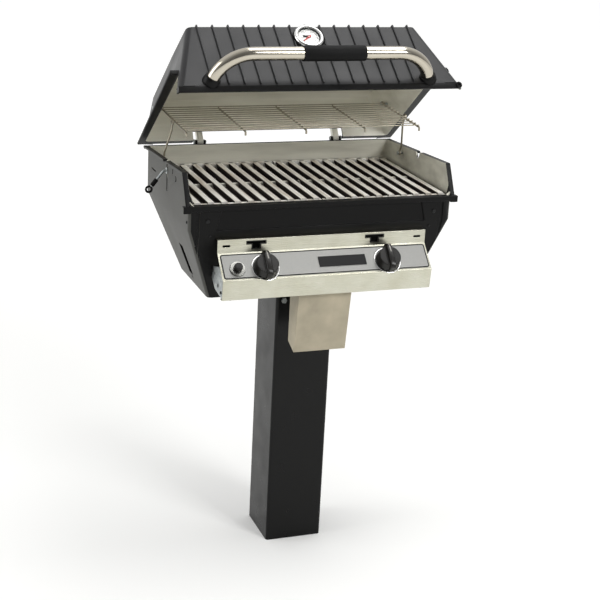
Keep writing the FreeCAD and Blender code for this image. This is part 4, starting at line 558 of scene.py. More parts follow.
class Palette:
    """Makes each finish once and gives it to whatever wears it."""

    by_slot = {
        Slot.POST: POWDER, Slot.CASTING: CAST_PAINT, Slot.BRUSHED: BRUSHED, Slot.BARS: BURNER_STEEL,
        Slot.CHROME: CHROME, Slot.ZINC: ZINC, Slot.TAUPE: TAUPE, Slot.BRASS: BRASS, Slot.KNOB: THERMOSET,
        Slot.RUBBER: RUBBER, Slot.WHITE: WHITE_LINE, Slot.CERAMIC: CERAMIC, Slot.DIAL: ENAMEL, Slot.GLASS: WINDOW,
        Slot.RED: RED,
    }
    by_node = {
        "electrodes": PORCELAIN, "handle_tube": POLISHED, "thermometer_case": BEZEL, "igniter_body": CHROMED_NUT,
        "fascia_plate": FASCIA, "lid": LIT_LID_PAINT, "grate_left": GRATE_STEEL, "grate_right": GRATE_STEEL,
    }

    def __init__(self) -> None:
        """Starts with no finish made."""
        self.made: dict[str, bpy.types.Material] = {}

    def get(self, finish: Finish) -> bpy.types.Material:
        """Gives a finish's material, made on first use.

        Args:
            finish: the finish.

        Returns:
            Its material.
        """
        if finish.name not in self.made:
            self.made[finish.name] = finish.material()
        return self.made[finish.name]

    def dress(self, obj: bpy.types.Object, *finishes: Finish) -> bpy.types.Object:
        """Puts finishes on an object, in order of its material numbers.

        Args:
            obj: the object.
            *finishes: one finish for each material number.

        Returns:
            The object.
        """
        obj.data.materials.clear()
        for finish in finishes:
            obj.data.materials.append(self.get(finish))
        return obj

    def dress_nodes(self) -> None:
        """Gives every carried-over node the finish of its slot, or its own."""
        for part in frame["record"]["subparts"]:
            finish = self.by_node.get(part["node"]) or self.by_slot[Slot(part["material_slot"])]
            self.dress(frame["nodes"][part["node"]], finish)


PALETTE = Palette()


@dataclass(frozen=True)
class HeadPlace:
    """The head's drawing frame: millimetres across, back from the front rim, and up from it.

    Attributes:
        setback: how far the rim stands in front of the post's axis.
        height: the rim's height above ground.
        hinge: the lid hinge's place, back and up.
        lid_open: how far the lid stands open at rest, in degrees.
        panel_foot: the closed lid's front panel at its foot, back and up.
        panel_head: the same at its head.
        control_bend: the control panel's upper bend, back and up.
        control_nose: its nose, back and up.
        control_line: the controls' line on its slope, from 0 at the bend to 1 at the nose.
    """

    setback: float = 175.0
    height: float = 955.0
    hinge: tuple[float, float] = (434.6, 54.9)
    lid_open: float = 34.2
    panel_foot: tuple[float, float] = (-9.0, 19.0)
    panel_head: tuple[float, float] = (56.0, 198.0)
    control_bend: tuple[float, float] = (-9.0, -115.0)
    control_nose: tuple[float, float] = (-62.0, -167.0)
    control_line: float = 0.6

    @property
    def to_head(self) -> Vector:
        """The step from the part's frame to the head's, in millimetres."""
        return Vector((0.0, self.setback, -self.height))

    def point(self, across: float, back: float, up: float) -> Vector:
        """Gives a head point in the part's frame, in metres."""
        return Vector((across, back - self.setback, up + self.height)) * MM

    def lid_turn(self) -> Matrix:
        """Gives the turn that takes the closed lid to its open rest.

        Returns:
            A matrix in the part's frame.
        """
        pivot = self.point(0.0, *self.hinge)
        turn = Matrix.Rotation(math.radians(-self.lid_open), 4, "X")
        return Matrix.Translation(pivot) @ turn @ Matrix.Translation(-pivot)

    def seat(self, origin: Vector, across: Vector, up: Vector, out: Vector) -> Matrix:
        """Gives the matrix that puts a shape drawn in millimetres on a face.

        Args:
            origin: the place in metres.
            across: where the shape's X goes.
            up: where its Y goes.
            out: where its Z goes.

        Returns:
            A matrix that also turns millimetres to metres.
        """
        rows = Matrix((across * MM, up * MM, out * MM)).transposed().to_4x4()
        return Matrix.Translation(origin) @ rows

    def lid_axes(self) -> tuple[Vector, Vector]:
        """Gives the closed lid's front panel directions: up along it, and out of it.

        Returns:
            Both directions.
        """
        foot, head = self.panel_foot, self.panel_head
        up = Vector((0.0, head[0] - foot[0], head[1] - foot[1])).normalized()
        return up, Vector((0.0, -up.z, up.y))

    def lid_seat(self, across: float, along: float) -> Matrix:
        """Gives the seat of a shape on the open lid's front panel.

        Args:
            across: from the middle, in millimetres.
            along: up the panel from its foot, in millimetres.

        Returns:
            The seat.
        """
        up, out = self.lid_axes()
        origin = self.point(across, *self.panel_foot) + up * along * MM
        return self.lid_turn() @ self.seat(origin, RIGHT, up, out)

    def control_seat(self, across: float) -> Matrix:
        """Gives the seat of a shape on the controls' line.

        Args:
            across: from the middle, in millimetres.

        Returns:
            The seat.
        """
        bend, nose = self.point(0.0, *self.control_bend), self.point(0.0, *self.control_nose)
        up = (bend - nose).normalized()
        origin = bend.lerp(nose, self.control_line) + RIGHT * (across * MM)
        return self.seat(origin, RIGHT, up, Vector((0.0, -up.z, up.y)))


HEAD = HeadPlace()


class Shape:
    """A mesh under construction, in millimetres, put in its place when it is finished."""

    def __init__(self) -> None:
        """Starts empty."""
        self.mesh = bmesh.new()

    def ring(self, points: Outline, height: float) -> list[bmesh.types.BMVert]:
        """Adds a loop of points at one height."""
        return [self.mesh.verts.new((x, y, height)) for x, y in points]

    def skin(self, loops: Sequence[Sequence[bmesh.types.BMVert]]) -> None:
        """Joins loops that have the same number of points with faces, each to the next.

        Args:
            loops: the loops; one whose points are all the same is a pole.
        """
        for low, high in zip(loops, loops[1:]):
            for i in range(len(low)):
                corners = list(dict.fromkeys((low[i - 1], low[i], high[i], high[i - 1])))
                if len(corners) > 2:
                    self.mesh.faces.new(corners)

    def lathe(self, profile: Outline, steps: int = 64, closed: bool = False) -> "Shape":
        """Turns a (radius, height) outline round Z.

        Args:
            profile: the outline; a radius of 0 is a pole.
            steps: the number of faces round it.
            closed: True if the outline is a loop, such as a ring's section.

        Returns:
            The shape, for chaining.
        """
        angles = [2.0 * math.pi * i / steps for i in range(steps)]
        rows = [
            self.ring([(radius * math.cos(a), radius * math.sin(a)) for a in angles], height)
            if radius else self.ring([(0.0, 0.0)], height) * steps
            for radius, height in profile
        ]
        self.skin(rows + rows[:1] if closed else rows)
        return self

    def plate(self, outline: Outline, low: float, high: float) -> "Shape":
        """Pushes a flat outline from one height to another.

        Args:
            outline: (x, y) corners.
            low: the underside.
            high: the top.

        Returns:
            The shape, for chaining.
        """
        lower, upper = self.ring(outline, low), self.ring(outline, high)
        self.mesh.faces.new(lower[::-1])
        self.mesh.faces.new(upper)
        self.skin((lower, upper))
        return self

    def frame(self, outer: Outline, inner: Outline, low: float, high: float) -> "Shape":
        """Makes a flat border between two outlines that have the same number of corners.

        Args:
            outer: its outside.
            inner: its inside.
            low: the underside.
            high: the top.

        Returns:
            The shape, for chaining.
        """
        loops = [self.ring(line, z) for line, z in ((outer, low), (outer, high), (inner, high), (inner, low))]
        self.skin(loops + loops[:1])
        return self

    def ease(self, radius: float, steps: int) -> "Shape":
        """Rounds off the edges round its top.

        Args:
            radius: how far the rounding reaches.
            steps: its number of faces.

        Returns:
            The shape, for chaining.
        """
        top = max(vert.co.z for vert in self.mesh.verts)
        rim = [edge for edge in self.mesh.edges if all(vert.co.z == top for vert in edge.verts)]
        bmesh.ops.bevel(self.mesh, geom=rim, offset=radius, segments=steps, affect="EDGES", profile=0.5)
        return self

    def put(
        self, name: str, seat: Matrix, finish: Optional[Finish] = None, sharp: float = 40.0
    ) -> bpy.types.Object:
        """Finishes the mesh as an object whose place is in its points.

        Args:
            name: the object's name.
            seat: where the shape goes.
            finish: what it wears; a cutter wears nothing.
            sharp: edges that turn more than this many degrees stay sharp.

        Returns:
            The object.
        """
        self.mesh.transform(seat)
        bmesh.ops.remove_doubles(self.mesh, verts=self.mesh.verts, dist=1e-7)
        bmesh.ops.recalc_face_normals(self.mesh, faces=self.mesh.faces)
        mesh = bpy.data.meshes.new(name)
        self.mesh.to_mesh(mesh)
        self.mesh.free()
        smooth(mesh, sharp)
        return PALETTE.dress(linked(name, mesh), *([finish] if finish else []))


def linked(name: str, data: bpy.types.ID) -> bpy.types.Object:
    """Links a mesh, curve, lamp or camera to the scene as an object at the origin.

    Args:
        name: the object's name.
        data: what it shows.

    Returns:
        The object.
    """
    obj = bpy.data.objects.new(name, data)
    bpy.context.scene.collection.objects.link(obj)
    return obj


def rounded(half_x: float, half_y: float, radius: float, steps: int = 6) -> list[tuple[float, float]]:
    """Gives a rectangle's outline with round corners.

    Args:
        half_x: half its width.
        half_y: half its height.
        radius: the corners' radius.
        steps: flats on each corner.

    Returns:
        Its points, anticlockwise.
    """
    points = []
    for quarter, (sx, sy) in enumerate(((1, 1), (-1, 1), (-1, -1), (1, -1))):
        for i in range(steps + 1):
            angle = math.pi / 2 * (quarter + i / steps)
            points.append((sx * (half_x - radius) + radius * math.cos(angle),
                           sy * (half_y - radius) + radius * math.sin(angle)))
    return points


def polyline(routes: Iterable[Sequence[Vector]]) -> bpy.types.Mesh:
    """Makes a mesh of loose edge runs for a tree to follow.

    Args:
        routes: the runs' points.

    Returns:
        The mesh.
    """
    points, edges = [], []
    for route in routes:
        first = len(points)
        points.extend(route)
        edges.extend((first + i, first + i + 1) for i in range(len(route) - 1))
    mesh = bpy.data.meshes.new("routes")
    mesh.from_pydata(points, edges, [])
    return mesh


class Tree:
    """A Geometry Nodes tree with named inputs that ends in Realize Instances and Set Material."""

    kinds = {
        float: "NodeSocketFloat", int: "NodeSocketInt", tuple: "NodeSocketVector", type(None): "NodeSocketObject"
    }

    def __init__(self, name: str, **sizes: object) -> None:
        """Makes the tree's sockets.

        Args:
            name: the tree's name.
            **sizes: each input's name and first value, whose type says what the input takes.
        """
        self.nodes = bpy.data.node_groups.new(name, "GeometryNodeTree")
        face = self.nodes.interface
        face.new_socket("Geometry", in_out="INPUT", socket_type="NodeSocketGeometry")
        face.new_socket("Finish", in_out="INPUT", socket_type="NodeSocketMaterial")
        face.new_socket("Geometry", in_out="OUTPUT", socket_type="NodeSocketGeometry")
        for size, value in sizes.items():
            face.new_socket(size, in_out="INPUT", socket_type=self.kinds[type(value)]).default_value = value
        self.given = add(self.nodes, "NodeGroupInput").outputs

    def add(self, kind: str, inputs: Inputs = None, **settings: object) -> bpy.types.Node:
        """Adds a node to this tree."""
        return add(self.nodes, kind, inputs, **settings)

    def row(self, piece: bpy.types.Node) -> "Tree":
        """Repeats a piece Count times from First, one Pitch apart, and closes the tree.

        Args:
            piece: the node whose result is repeated.

        Returns:
            The tree.
        """
        line = {"Count": self.given["Count"], "Start Location": self.given["First"], "Offset": self.given["Pitch"]}
        spots = self.add("GeometryNodeMeshLine", line, mode="OFFSET")
        return self.end(self.add("GeometryNodeInstanceOnPoints", {"Points": spots, "Instance": piece}))

    def end(self, result: bpy.types.Node) -> "Tree":
        """Closes the tree.

        Args:
            result: the node with its result.

        Returns:
            The tree.
        """
        real = self.add("GeometryNodeRealizeInstances", {0: result})
        worn = self.add("GeometryNodeSetMaterial", {"Geometry": real, "Material": self.given["Finish"]})
        self.add("NodeGroupOutput", {0: worn})
        return self

    def bake(
        self, name: str, finish: Finish, source: Optional[bpy.types.Mesh] = None, **sizes: object
    ) -> bpy.types.Object:
        """Runs the tree and keeps its result as a plain mesh.

        Args:
            name: the new object's name.
            finish: its finish.
            source: the mesh that the tree starts from, if any.
            **sizes: the named inputs' values.

        Returns:
            The new object, at the origin.
        """
        holder = linked(name + "_holder", source or bpy.data.meshes.new(name + "_empty"))
        modifier = holder.modifiers.new("Shape", "NODES")
        modifier.node_group = self.nodes
        given = {**sizes, "Finish": PALETTE.get(finish)}
        for item in self.nodes.interface.items_tree:
            if item.in_out == "INPUT" and item.name in given:
                modifier[item.identifier] = given[item.name]
        mesh = settled_mesh(holder)
        bpy.data.objects.remove(holder)
        mesh.name = name
        mesh.polygons.foreach_set("material_index", [0] * len(mesh.polygons))
        smooth(mesh)
        return PALETTE.dress(linked(name, mesh), finish)


def bent_stock() -> Tree:
    """Builds the tree that sweeps round stock along edge runs with eased bends.

    Returns:
        The tree.
    """
    tree = Tree("bent round stock", Radius=0.002, Bend=0.01, Sides=16, Steps=6)
    run = tree.add("GeometryNodeMeshToCurve", {0: tree.given["Geometry"]})
    bends = {"Curve": run, "Count": tree.given["Steps"], "Radius": tree.given["Bend"], "Limit Radius": True}
    eased = tree.add("GeometryNodeFilletCurve", bends, mode="POLY")
    size = {"Resolution": tree.given["Sides"], "Radius": tree.given["Radius"]}
    ring = tree.add("GeometryNodeCurvePrimitiveCircle", size)
    return tree.end(tree.add("GeometryNodeCurveToMesh", {"Curve": eased, "Profile Curve": ring, "Fill Caps": True}))


def wire_row() -> Tree:
    """Builds the tree that lays equal straight wires across a rack, one pitch apart.

    Returns:
        The tree.
    """
    nil = (0.0, 0.0, 0.0)
    tree = Tree("row of wires", Count=12, First=nil, Pitch=(0.0, 0.02, 0.0), Length=0.6, Radius=0.0018, Sides=12)
    half = tree.add("ShaderNodeMath", (tree.given["Length"], 0.5), operation="MULTIPLY")
    minus = tree.add("ShaderNodeMath", (half, -1.0), operation="MULTIPLY")
    start, stop = (tree.add("ShaderNodeCombineXYZ", {0: end}) for end in (minus, half))
    line = tree.add("GeometryNodeCurvePrimitiveLine", {"Start": start, "End": stop})
    size = {"Resolution": tree.given["Sides"], "Radius": tree.given["Radius"]}
    ring = tree.add("GeometryNodeCurvePrimitiveCircle", size)
    return tree.row(tree.add("GeometryNodeCurveToMesh", {"Curve": line, "Profile Curve": ring, "Fill Caps": True}))


def bar_row() -> Tree:
    """Builds the tree that sweeps a bar's section along Y and repeats it across a grate.

    Returns:
        The tree.
    """
    nil = (0.0, 0.0, 0.0)
    tree = Tree("row of grate bars", Count=10, First=nil, Pitch=(0.033, 0.0, 0.0), Length=0.38, Ease=0.002, Steps=4)
    stop = tree.add("ShaderNodeCombineXYZ", {1: tree.given["Length"]})
    line = tree.add("GeometryNodeCurvePrimitiveLine", {"Start": nil, "End": stop})
    section = tree.add("GeometryNodeMeshToCurve", {0: tree.given["Geometry"]})
    corners = {"Curve": section, "Count": tree.given["Steps"], "Radius": tree.given["Ease"], "Limit Radius": True}
    eased = tree.add("GeometryNodeFilletCurve", corners, mode="POLY")
    return tree.row(tree.add("GeometryNodeCurveToMesh", {"Curve": line, "Profile Curve": eased, "Fill Caps": True}))


def arc_ticks() -> Tree:
    """Builds the tree that prints ticks on an arc, every fifth one longer.

    Returns:
        The tree.
    """
    first = {"Count": 31, "Radius": 28.0, "Start": 0.0, "Sweep": 4.0, "Tick": (2.0, 0.4, 0.1), "Height": 0.0}
    tree = Tree("ticks on an arc", **first, Major=5)
    spots = tree.add("GeometryNodeMeshLine", {"Count": tree.given["Count"]}, mode="OFFSET")
    index = tree.add("GeometryNodeInputIndex")
    last = tree.add("ShaderNodeMath", (tree.given["Count"], 1.0), operation="SUBTRACT")
    share = tree.add("ShaderNodeMath", (index, last), operation="DIVIDE")
    turned = tree.add("ShaderNodeMath", (share, tree.given["Sweep"]), operation="MULTIPLY")
    angle = tree.add("ShaderNodeMath", (turned, tree.given["Start"]), operation="ADD")
    cosine, sine = (tree.add("ShaderNodeMath", (angle,), operation=name) for name in ("COSINE", "SINE"))
    unit = tree.add("ShaderNodeCombineXYZ", (cosine, sine))
    ring = tree.add("ShaderNodeVectorMath", {0: unit, "Scale": tree.given["Radius"]}, operation="SCALE")
    lift = tree.add("ShaderNodeCombineXYZ", {2: tree.given["Height"]})
    place = tree.add("ShaderNodeVectorMath", (ring, lift), operation="ADD")
    moved = tree.add("GeometryNodeSetPosition", {"Geometry": spots, "Position": place})
    tick = tree.add("GeometryNodeMeshCube", {"Size": tree.given["Tick"]})
    turn = tree.add("ShaderNodeCombineXYZ", {2: angle})
    rest = tree.add("ShaderNodeMath", (index, tree.given["Major"]), operation="MODULO")
    major = tree.add("ShaderNodeMath", (rest, 0.5), operation="LESS_THAN")
    longer = tree.add("ShaderNodeMath", (major, 1.0, 1.0), operation="MULTIPLY_ADD")
    size = tree.add("ShaderNodeCombineXYZ", (longer, 1.0, 1.0))
    row = {"Points": moved, "Instance": tick, "Rotation": turn, "Scale": size}
    return tree.end(tree.add("GeometryNodeInstanceOnPoints", row))


def screw_set() -> Tree:
    """Builds the tree that drives a screw head at each point, facing the way the point says.

    Returns:
        The tree.
    """
    tree = Tree("set of screws", Head=None, Size=1.0)
    head = tree.add("GeometryNodeObjectInfo", {"Object": tree.given["Head"]}, transform_space="ORIGINAL")
    facing = tree.add("GeometryNodeInputNamedAttribute", {"Name": "facing"}, data_type="FLOAT_VECTOR")
    turn = tree.add("FunctionNodeAlignRotationToVector", {"Vector": facing.outputs[0]}, axis="Z")
    row = {"Points": tree.given["Geometry"], "Instance": head.outputs["Geometry"], "Rotation": turn,
           "Scale": tree.given["Size"]}
    return tree.end(tree.add("GeometryNodeInstanceOnPoints", row))


def settled_mesh(obj: bpy.types.Object) -> bpy.types.Mesh:
    """Gives an object's mesh with its modifiers worked in.

    Args:
        obj: the object.

    Returns:
        The mesh.
    """
    bpy.context.view_layer.update()
    graph = bpy.context.evaluated_depsgraph_get()
    return bpy.data.meshes.new_from_object(obj.evaluated_get(graph), depsgraph=graph)


def smooth(mesh: bpy.types.Mesh, sharp: float = 40.0) -> None:
    """Shades a mesh smooth, but for edges that turn more than so many degrees."""
    mesh.shade_smooth()
    mesh.set_sharp_from_angle(angle=math.radians(sharp))


def merged(name: str, parts: Sequence[bpy.types.Object]) -> bpy.types.Object:
    """Joins objects that wear the same finish into one.

    Args:
        name: the joined object's name.
        parts: the objects, which are removed.

    Returns:
        The joined object.
    """
    whole = bmesh.new()
    finish = parts[0].data.materials[0]
    for part in parts:
        whole.from_mesh(part.data)
        bpy.data.objects.remove(part)
    for face in whole.faces:
        face.material_index = 0
    mesh = bpy.data.meshes.new(name)
    whole.to_mesh(mesh)
    whole.free()
    mesh.materials.append(finish)
    smooth(mesh)
    return linked(name, mesh)


def carved(body: bpy.types.Object, cutters: Sequence[bpy.types.Object]) -> bpy.types.Mesh:
    """Cuts shapes out of an object.

    Args:
        body: the object, which is removed.
        cutters: the shapes to take away, which are removed.

    Returns:
        What is left, as a plain mesh.
    """
    for cutter in cutters:
        cut = body.modifiers.new("Cut", "BOOLEAN")
        cut.object, cut.operation, cut.solver = cutter, "DIFFERENCE", "EXACT"
    mesh = settled_mesh(body)
    for item in (body, *cutters):
        bpy.data.objects.remove(item)
    return mesh


def settle(obj: bpy.types.Object, body: Body, slot: Slot, *nodes: str) -> bpy.types.Object:
    """Hangs a piece on the body it rides on and hides the nodes that it stands for.

    Args:
        obj: the piece.
        body: the body it rides on.
        slot: its material slot; not used.
        *nodes: the nodes that it replaces.

    Returns:
        The piece.
    """
    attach(obj, body.value)
    if nodes:
        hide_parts(*nodes)
    LOG.info("%s: %d faces on %s", obj.name, len(obj.data.polygons), body.value)
    return obj


def body_of_node(node: str) -> Body:
    """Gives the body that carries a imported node."""
    return next(Body(body) for body, nodes in frame["record"]["behaviour"]["bodies"].items() if node in nodes)


def slot_of_node(node: str) -> Slot:
    """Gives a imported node's material slot."""
    return next(Slot(part["material_slot"]) for part in frame["record"]["subparts"] if part["node"] == node)


@dataclass(frozen=True)
class EasedPiece:
    """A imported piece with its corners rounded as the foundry, press or mould leaves them.

    Attributes:
        node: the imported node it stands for.
        radius_mm: the radius on its edges.
        finish: its finish.
        sharp: edges that turn less than this many degrees are part of a curve.
        steps: faces on each rounded edge.
    """

    node: str
    radius_mm: float
    finish: Finish
    sharp: float = 33.0
    steps: int = 2

    def copy(self) -> bpy.types.Mesh:
        """Copies the node's triangles, joined along their edges.

        Returns:
            The mesh.
        """
        whole = bmesh.new()
        whole.from_mesh(frame["nodes"][self.node].data)
        bmesh.ops.remove_doubles(whole, verts=whole.verts, dist=1e-6)
        mesh = bpy.data.meshes.new(self.node + "_eased")
        whole.to_mesh(mesh)
        whole.free()
        mesh.shade_smooth()
        return mesh

    def build(self, *others: Finish) -> None:
        """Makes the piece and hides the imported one.

        Args:
            *others: the finishes of the faces that mark_faces numbers 1 and up.
        """
        piece = PALETTE.dress(linked(self.node + "_finished", self.copy()), self.finish, *others)
        self.mark_faces(piece.data)
        round_off = piece.modifiers.new("Rounded edges", "BEVEL")
        round_off.width, round_off.segments = self.radius_mm * MM, self.steps
        round_off.limit_method, round_off.angle_limit = "ANGLE", math.radians(self.sharp)
        round_off.use_clamp_overlap, round_off.miter_outer = False, "MITER_ARC"
        piece.modifiers.new("Even shading", "WEIGHTED_NORMAL").keep_sharp = True
        settle(piece, body_of_node(self.node), slot_of_node(self.node), self.node)

    def mark_faces(self, mesh: bpy.types.Mesh) -> None:
        """Numbers the faces that wear another finish; a plain piece has none."""


@dataclass(frozen=True)
class BoxCasting(EasedPiece):
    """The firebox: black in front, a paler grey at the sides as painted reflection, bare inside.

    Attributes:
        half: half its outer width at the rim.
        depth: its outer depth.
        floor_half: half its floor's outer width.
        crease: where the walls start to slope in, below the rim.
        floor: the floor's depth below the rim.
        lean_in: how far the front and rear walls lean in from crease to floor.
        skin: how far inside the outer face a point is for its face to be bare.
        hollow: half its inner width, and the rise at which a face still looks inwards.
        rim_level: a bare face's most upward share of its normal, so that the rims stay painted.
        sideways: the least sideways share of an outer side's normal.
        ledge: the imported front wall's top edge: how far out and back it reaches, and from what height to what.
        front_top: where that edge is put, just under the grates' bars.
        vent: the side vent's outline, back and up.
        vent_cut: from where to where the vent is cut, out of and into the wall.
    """

    half: float = 337.0
    depth: float = 412.0
    floor_half: float = 272.0
    crease: float = 61.0
    floor: float = 245.0
    lean_in: tuple[float, float] = (50.0, 112.0)
    skin: float = 3.0
    hollow: tuple[float, float] = (300.0, 0.4)
    rim_level: float = 0.98
    sideways: float = 0.6
    ledge: tuple[float, float, float, float] = (326.0, 9.5, 0.5, 20.0)
    front_top: float = 1.5
    vent: Outline = ((155.0, -143.0), (189.0, -143.0), (175.0, -214.0), (141.0, -214.0))
    vent_cut: tuple[float, float] = (-12.0, 90.0)

    def copy(self) -> bpy.types.Mesh:
        """Copies the casting, with its front wall level with the rim and its side vent at full width.

        Returns:
            The mesh.
        """
        mesh = super().copy()
        out, deep, low, high = self.ledge
        for vert in mesh.vertices:
            across, back, up = vert.co / MM + HEAD.to_head
            if abs(across) < out and back < deep and low < up < high:
                vert.co.z = (self.front_top + HEAD.height) * MM
        seat = HEAD.seat(HEAD.point(-self.half, 0.0, 0.0), BACK, UP, RIGHT)
        cutter = Shape().plate(self.vent, *self.vent_cut).put("vent_cutter", seat)
        cut = carved(linked("firebox_copy", mesh), [cutter])
        cut.shade_smooth()
        return cut

    def mark_faces(self, mesh: bpy.types.Mesh) -> None:
        """Marks the faces that look inwards within the walls as bare, and the outer sides for the paler paint that
        stands in for their reflection.

        Args:
            mesh: the casting.
        """
        middle, (hollow, rise) = self.depth / 2.0, self.hollow
        for face in mesh.polygons:
            spot = face.center / MM + HEAD.to_head
            slope = max(0.0, -self.crease - spot.z) / (self.floor - self.crease)
            wall = self.half - slope * (self.half - self.floor_half)
            front, rear = slope * self.lean_in[0], self.depth - slope * self.lean_in[1]
            deep = min(wall - abs(spot.x), spot.y - front, rear - spot.y, spot.z + self.floor)
            inwards = Vector((-spot.x / hollow, (middle - spot.y) / middle, rise))
            if deep > self.skin and face.normal.dot(inwards) > 0.0 and face.normal.z < self.rim_level:
                face.material_index = 1
            elif deep > 3.0 * self.skin and spot.z < -self.crease:
                face.material_index = 1
            # The outer sides take the paler copy of the paint: painted reflection.
            elif face.normal.x * math.copysign(1.0, spot.x) > self.sideways:
                face.material_index = 2


@dataclass(frozen=True)
class LidCasting(EasedPiece):
    """The lid: ribbed paint outside in a paler grey than the firebox as painted light, black along its rim, bare
    inside.

    Attributes:
        flank: half its outer width at flank_up.
        flank_up: the height that flank is measured at.
        lean: how much each flank leans in per millimetre of height.
        rake: the front panel's distance along its own normal, per millimetre back.
        crown: its top, back and up.
        rear_head: where its top meets its rear wall, back and up.
        rear: its rear wall's outer face, and where the rear rim starts.
        skin: how far inside the outer face a point is for its face to be bare.
        heart: the height of the hollow's middle.
        under_up: below this height a face that looks down by more than under_level is the rim's.
        under_level: that face's downward share of its normal.
    """

    flank: float = 348.0
    flank_up: float = 40.0
    lean: float = 0.3228
    rake: float = 0.94
    crown: tuple[float, float] = (213.0, 193.0)
    rear_head: tuple[float, float] = (425.0, 171.0)
    rear: tuple[float, float] = (428.0, 431.0)
    skin: float = 3.2
    heart: float = 90.0
    under_up: float = 66.0
    under_level: float = 0.6

    def mark_faces(self, mesh: bpy.types.Mesh) -> None:
        """Marks the faces behind the outer skin as bare and the rim as black, measured on the closed lid.

        Args:
            mesh: the casting.
        """
        shut = HEAD.lid_turn().inverted()
        foot, head, crown, rear = HEAD.panel_foot, HEAD.panel_head, self.crown, self.rear_head
        for face in mesh.polygons:
            spot = (shut @ face.center) / MM + HEAD.to_head
            normal = shut.to_3x3() @ face.normal
            panel = foot[0] + (spot.z - foot[1]) * (head[0] - foot[0]) / (head[1] - foot[1])
            if spot.y < crown[0]:
                top = head[1] + (spot.y - head[0]) * (crown[1] - head[1]) / (crown[0] - head[0])
            else:
                top = crown[1] - (spot.y - crown[0]) * ((crown[1] - rear[1]) / (rear[0] - crown[0]))
            side = self.flank - self.lean * (spot.z - self.flank_up)
            deep = min(side - abs(spot.x), (spot.y - panel) * self.rake, top - spot.z, self.rear[0] - spot.y)
            flange = abs(spot.x) > side + 1.0
            lip = spot.z < foot[1] + 0.6 and spot.y < foot[0] + 1.0
            under = normal.z < -self.under_level and spot.z < self.under_up
            inwards = Vector((-spot.x, crown[0] - spot.y, self.heart - spot.z))
            if flange or lip or under or spot.y > self.rear[1]:
                face.material_index = 2
            # The bare faces inside take the paler copy of the casting: painted light.
            elif deep > self.skin and normal.dot(inwards) > 0.0:
                face.material_index = 1


@dataclass(frozen=True)
class LidTrim:
    """The ribs' feet down to the lid's lip, and the small lug at the lip's right end.

    Attributes:
        ribs: the number of ribs that reach the lip.
        pitch: their spacing.
        wide: a rib's width.
        high: its height over the panel.
        long: how far up the panel the foot runs.
        corner: the radius on a foot's corners.
        ease: the radius on its upper edges.
        sunk: how deep a foot stands in the panel.
        start: how far up the panel it starts.
        lug: the lug's place on the closed lid: across, back and up.
        lug_radius: its radius.
        lug_hole: its hole's radius, as a share of its own.
    """

    ribs: int = 13
    pitch: float = 39.0
    wide: float = 4.0
    high: float = 4.4
    long: float = 19.5
    corner: float = 0.9
    ease: float = 0.8
    sunk: float = 0.6
    start: float = 0.4
    lug: tuple[float, float, float] = (351.6, -8.5, 10.0)
    lug_radius: float = 8.3
    lug_hole: float = 0.42

    def build(self) -> None:
        """Makes the feet and the lug."""
        feet = []
        for index in range(self.ribs):
            across = (index - (self.ribs - 1) / 2.0) * self.pitch
            foot = Shape().plate(rounded(self.wide / 2.0, self.long / 2.0, self.corner, 2), -self.sunk, self.high)
            foot.ease(self.ease, 2)
            feet.append(foot.put("foot", HEAD.lid_seat(across, self.long / 2.0 + self.start), LIT_LID_PAINT))
        settle(merged("lid_rib_feet", feet), Body.LID, Slot.CASTING)
        place = HEAD.lid_turn() @ HEAD.point(*self.lug)
        up = HEAD.lid_turn().to_3x3() @ UP
        outer, hole = self.lug_radius, self.lug_radius * self.lug_hole
        outline = [(hole, -3.6), (hole + 0.8, -4.4), (outer - 1.2, -4.4), (outer, -3.2), (outer, 3.2),
                   (outer - 1.2, 4.4), (hole + 0.8, 4.4), (hole, 3.6)]
        lug = Shape().lathe(outline, 28, closed=True)
        lug = lug.put("lid_lip_lug", HEAD.seat(place, RIGHT, up, RIGHT.cross(up)), CAST_PAINT)
        settle(lug, Body.LID, Slot.CASTING)


